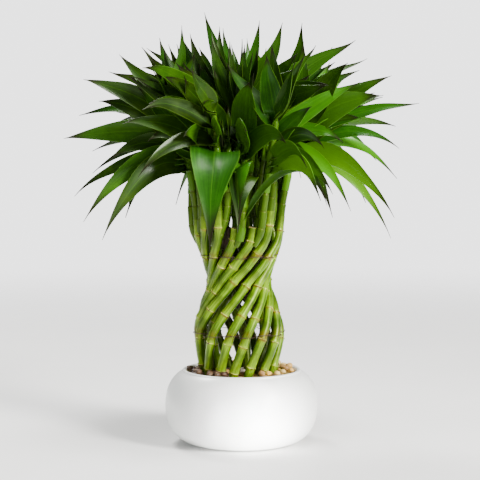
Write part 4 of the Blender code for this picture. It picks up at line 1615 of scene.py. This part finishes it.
def filling_leaves(shoot, kind, chance):
    """Steep leaves of one kind, spread round the outward side of a shoot's top."""
    found = []
    top = along(shoot, kind["from"])[0]
    outward = math.atan2(top.x, top.y)
    for number in range(kind["count"]):
        turn = outward + (number - (kind["count"] - 1) / 2) * kind["spread"]
        turn += chance.uniform(-kind["stray"], kind["stray"])
        climb = chance.uniform(*kind["climb"])
        length = chance.uniform(*kind["length"])
        if top.y + 0.5 * length * math.cos(turn) < kind["front"]:
            continue
        level = length * math.cos(climb)
        lift = min(length * math.sin(climb), kind["highest"] - top.z)
        tip = top + Vector((math.sin(turn) * level, math.cos(turn) * level, lift))
        arch = chance.uniform(*kind["arch"])
        width = chance.uniform(*kind["width"])
        roll = chance.uniform(-kind["roll"], kind["roll"])
        joint = kind["joint"] - kind["joint_step"] * number
        found.append(leaf_plan(tip, arch, width, roll, shoot=shoot, joint=joint))
    return found


def spear(shoot, chance):
    """A rolled new leaf that stands straight up out of a second shoot."""
    tip = along(shoot, SHOOT_TIP)[0] + UP * SPEAR_LENGTH
    roll = chance.uniform(-1, 1)
    return leaf_plan(tip, 0.0, SPEAR_WIDTH, roll, RULE_TWIST, shoot=shoot, joint=SPEAR_JOINT)


def fan_leaves(crown, shoot):
    """The crown's share of the leaves that fill out the fans."""
    found = []
    for number, joint, x, y, z, arch, width, freshness in FAN_LEAVES:
        if number == crown:
            tip = Vector((x, y, z)) / 1000
            leaf = leaf_plan(tip, arch / 1000, width / 1000, 0.0, shoot=shoot, joint=joint, fresh=freshness)
            turn_to_front(leaf, FRONT_SHARE)
            found.append(leaf)
    return found


def second_shoot(number, cane, inner):
    """The line of a cane's thinner second shoot, which swings into the gap beside it, or to the inside."""
    gap = math.radians((CANE_TURNS[(number + 1) % len(CANE_TURNS)] - CANE_TURNS[number]) % 360)
    lean = SECOND_LEAN if number % 2 and not inner else 0.0
    top = SECOND_TOP_Z + 0.008 * math.sin(2.9 * number)
    line = []
    for n in range(len(SECOND_RADII)):
        share = n / (len(SECOND_RADII) - 1)
        height = SECOND_FOOT_Z + (top - SECOND_FOOT_Z) * share
        swing = eased(share * 2.4)
        inward = -SECOND_INSET[inner] * swing + lean * share**LEAN_POWER
        line.append(ring_point(height, cane["turn"] + gap * SECOND_SWING[inner] * swing, inward))
    return line


def all_leaves(number, shoot, seconds, found, chance):
    """A crown's leaves: those found in CAD, then young and filling ones and those of the fans."""
    filling = young_leaves(shoot, chance) + filling_leaves(shoot, INNER_LEAVES, chance)
    for second in seconds[number :: len(CANE_TURNS)]:
        filling += filling_leaves(second, SECOND_LEAVES, chance)
        filling.append(spear(second, chance))
    for leaf in filling:
        leaf["roll"] += INNER_FRONT_SHARE * front_roll(leaf)
    return found + filling + fan_leaves(number + 1, shoot)


def freshness(tip, chance):
    """A leaf's green at its tip's place: fresher low down, and lighter to the right as painted light."""
    down = FRESH_MIDDLE_Z - tip.z
    return FRESHNESS + PAINTED_LIGHT_RIGHT * tip.x + FRESHER_DOWN * down + FRESH_SPREAD * chance.uniform(-1, 1)


def make_leaves(shoots, seconds, upper, lower):
    """Leaves are shaped one by one from a flat blank; a crown's leaves are one piece."""
    blank = leaf_blank()
    chance = random.Random(7)
    for number, (shoot, found) in enumerate(zip(shoots, find_leaves(shoots))):
        sheets = []
        for leaf in all_leaves(number, shoot, seconds, found, chance):
            sheet = copy_of(blank, "leaf")
            radii = SHOOT_RADII if leaf["shoot"] is shoot else SECOND_RADII
            stem_radius = radii[int(min(leaf["joint"], 0.999) * (len(radii) - 1))] + SHEATH_ROOM
            waves = [chance.uniform(0, 1) for _ in range(3)] + [leaf["twist"] * chance.uniform(-1, 1)]
            # the tint carries freshness and painted light
            tint = leaf.get("fresh", freshness(leaf["tip"], chance))
            shape_leaf(sheet, leaf, tint, waves, stem_radius)
            sheets.append(sheet)
        foliage = join(sheets, f"leaves_{number + 1:02d}")
        clean(foliage, 2e-5)
        coat_with(foliage, upper, lower)
        wall = foliage.modifiers.new("thickness", "SOLIDIFY")
        wall.thickness = LEAF_THICKNESS
        wall.offset = 0
        wall.material_offset = 1
        wall.material_offset_rim = 0
        work_on(foliage)
        bpy.ops.object.modifier_apply(modifier=wall.name)
        smooth(foliage, 70)
        finish_piece(foliage, "leaf", f"crown_{number + 1:02d}")
    throw_away(blank)


# ---- Floor, light and camera ----


def area_light(name, place, target, size, power, colour=(1, 1, 1)):
    lamp = bpy.data.lights.new(name, "AREA")
    lamp.shape = "DISK"
    lamp.size = size
    lamp.energy = power
    lamp.color = colour
    made = put_in_scene(name, lamp)
    made.location = place
    made.visible_camera = False
    made.rotation_euler = (Vector(target) - Vector(place)).to_track_quat("-Z", "Y").to_euler()
    return lamp


def set_stage():
    deselect_all()
    bpy.ops.mesh.primitive_plane_add(size=FLOOR_SIZE, location=(0, 0, -FLOOR_DROP))
    floor = named("floor")
    coat_with(floor, pale_floor())
    floor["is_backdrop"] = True
    world = bpy.data.worlds.new("soft room")
    world.use_nodes = True
    tree = world.node_tree
    seen = add(tree, "LightPath").outputs["Is Camera Ray"]
    room = mixed(tree, seen, ROOM_LIGHT, WALL_LIGHT)
    tree.links.new(room, tree.nodes["Background"].inputs["Color"])
    bpy.context.scene.world = world
    for name, place, size, power, colour in LAMPS:
        area_light(name, place, LAMP_TARGET, size, power, colour)
    area_light("low lamp", *POT_LAMP).spread = math.radians(POT_LAMP_SPREAD)


def set_camera():
    camera = bpy.data.cameras.new("camera")
    camera.sensor_width = 36
    camera.lens = CAMERA_LENS
    made = put_in_scene("camera", camera)
    made.location = CAMERA_PLACE
    made.rotation_euler = (math.radians(90 - CAMERA_TILT), 0, 0)
    bpy.context.scene.camera = made


def main():
    set_stage()
    set_camera()
    canes = plan_canes()
    shoots = [plan_shoot(number, cane) for number, cane in enumerate(canes)]
    stone = river_stone()
    make_bowl(satin_glaze())
    make_pebbles(canes, stone)
    frame["nodes"]["pebble_bed"].data.materials.clear()
    frame["nodes"]["pebble_bed"].data.materials.append(stone)
    skin = cane_skin()
    make_canes(canes, skin, cut_end(), dry_bud())
    make_core(dark_stump_shade(), skin)
    coat = wire_coat()
    for level, height in TIE_HEIGHTS.items():
        for phase, strand in enumerate(("a", "b")):
            shifted = height + (phase - 0.5) * WIRE_STAGGER
            node = f"{level}_tie_wire_{strand}"
            finish_piece(make_tie(f"woven_{node}", shifted, phase, coat), "tie_wire", node)
    seconds = [second_shoot(*pair, inner) for inner in (0, 1) for pair in enumerate(canes)]
    make_shoots(canes, shoots, seconds, shoot_skin())
    upper = leaf_skin("glossy leaf face", *LEAF_FACE)
    lower = leaf_skin("leaf underside", *LEAF_BACK)
    make_leaves(shoots, seconds, upper, lower)
    boxes = {"cad": cad_box, "visual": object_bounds()}
    {name: [list(map(float, c)) for c in box] for name, box in boxes.items()}


main()
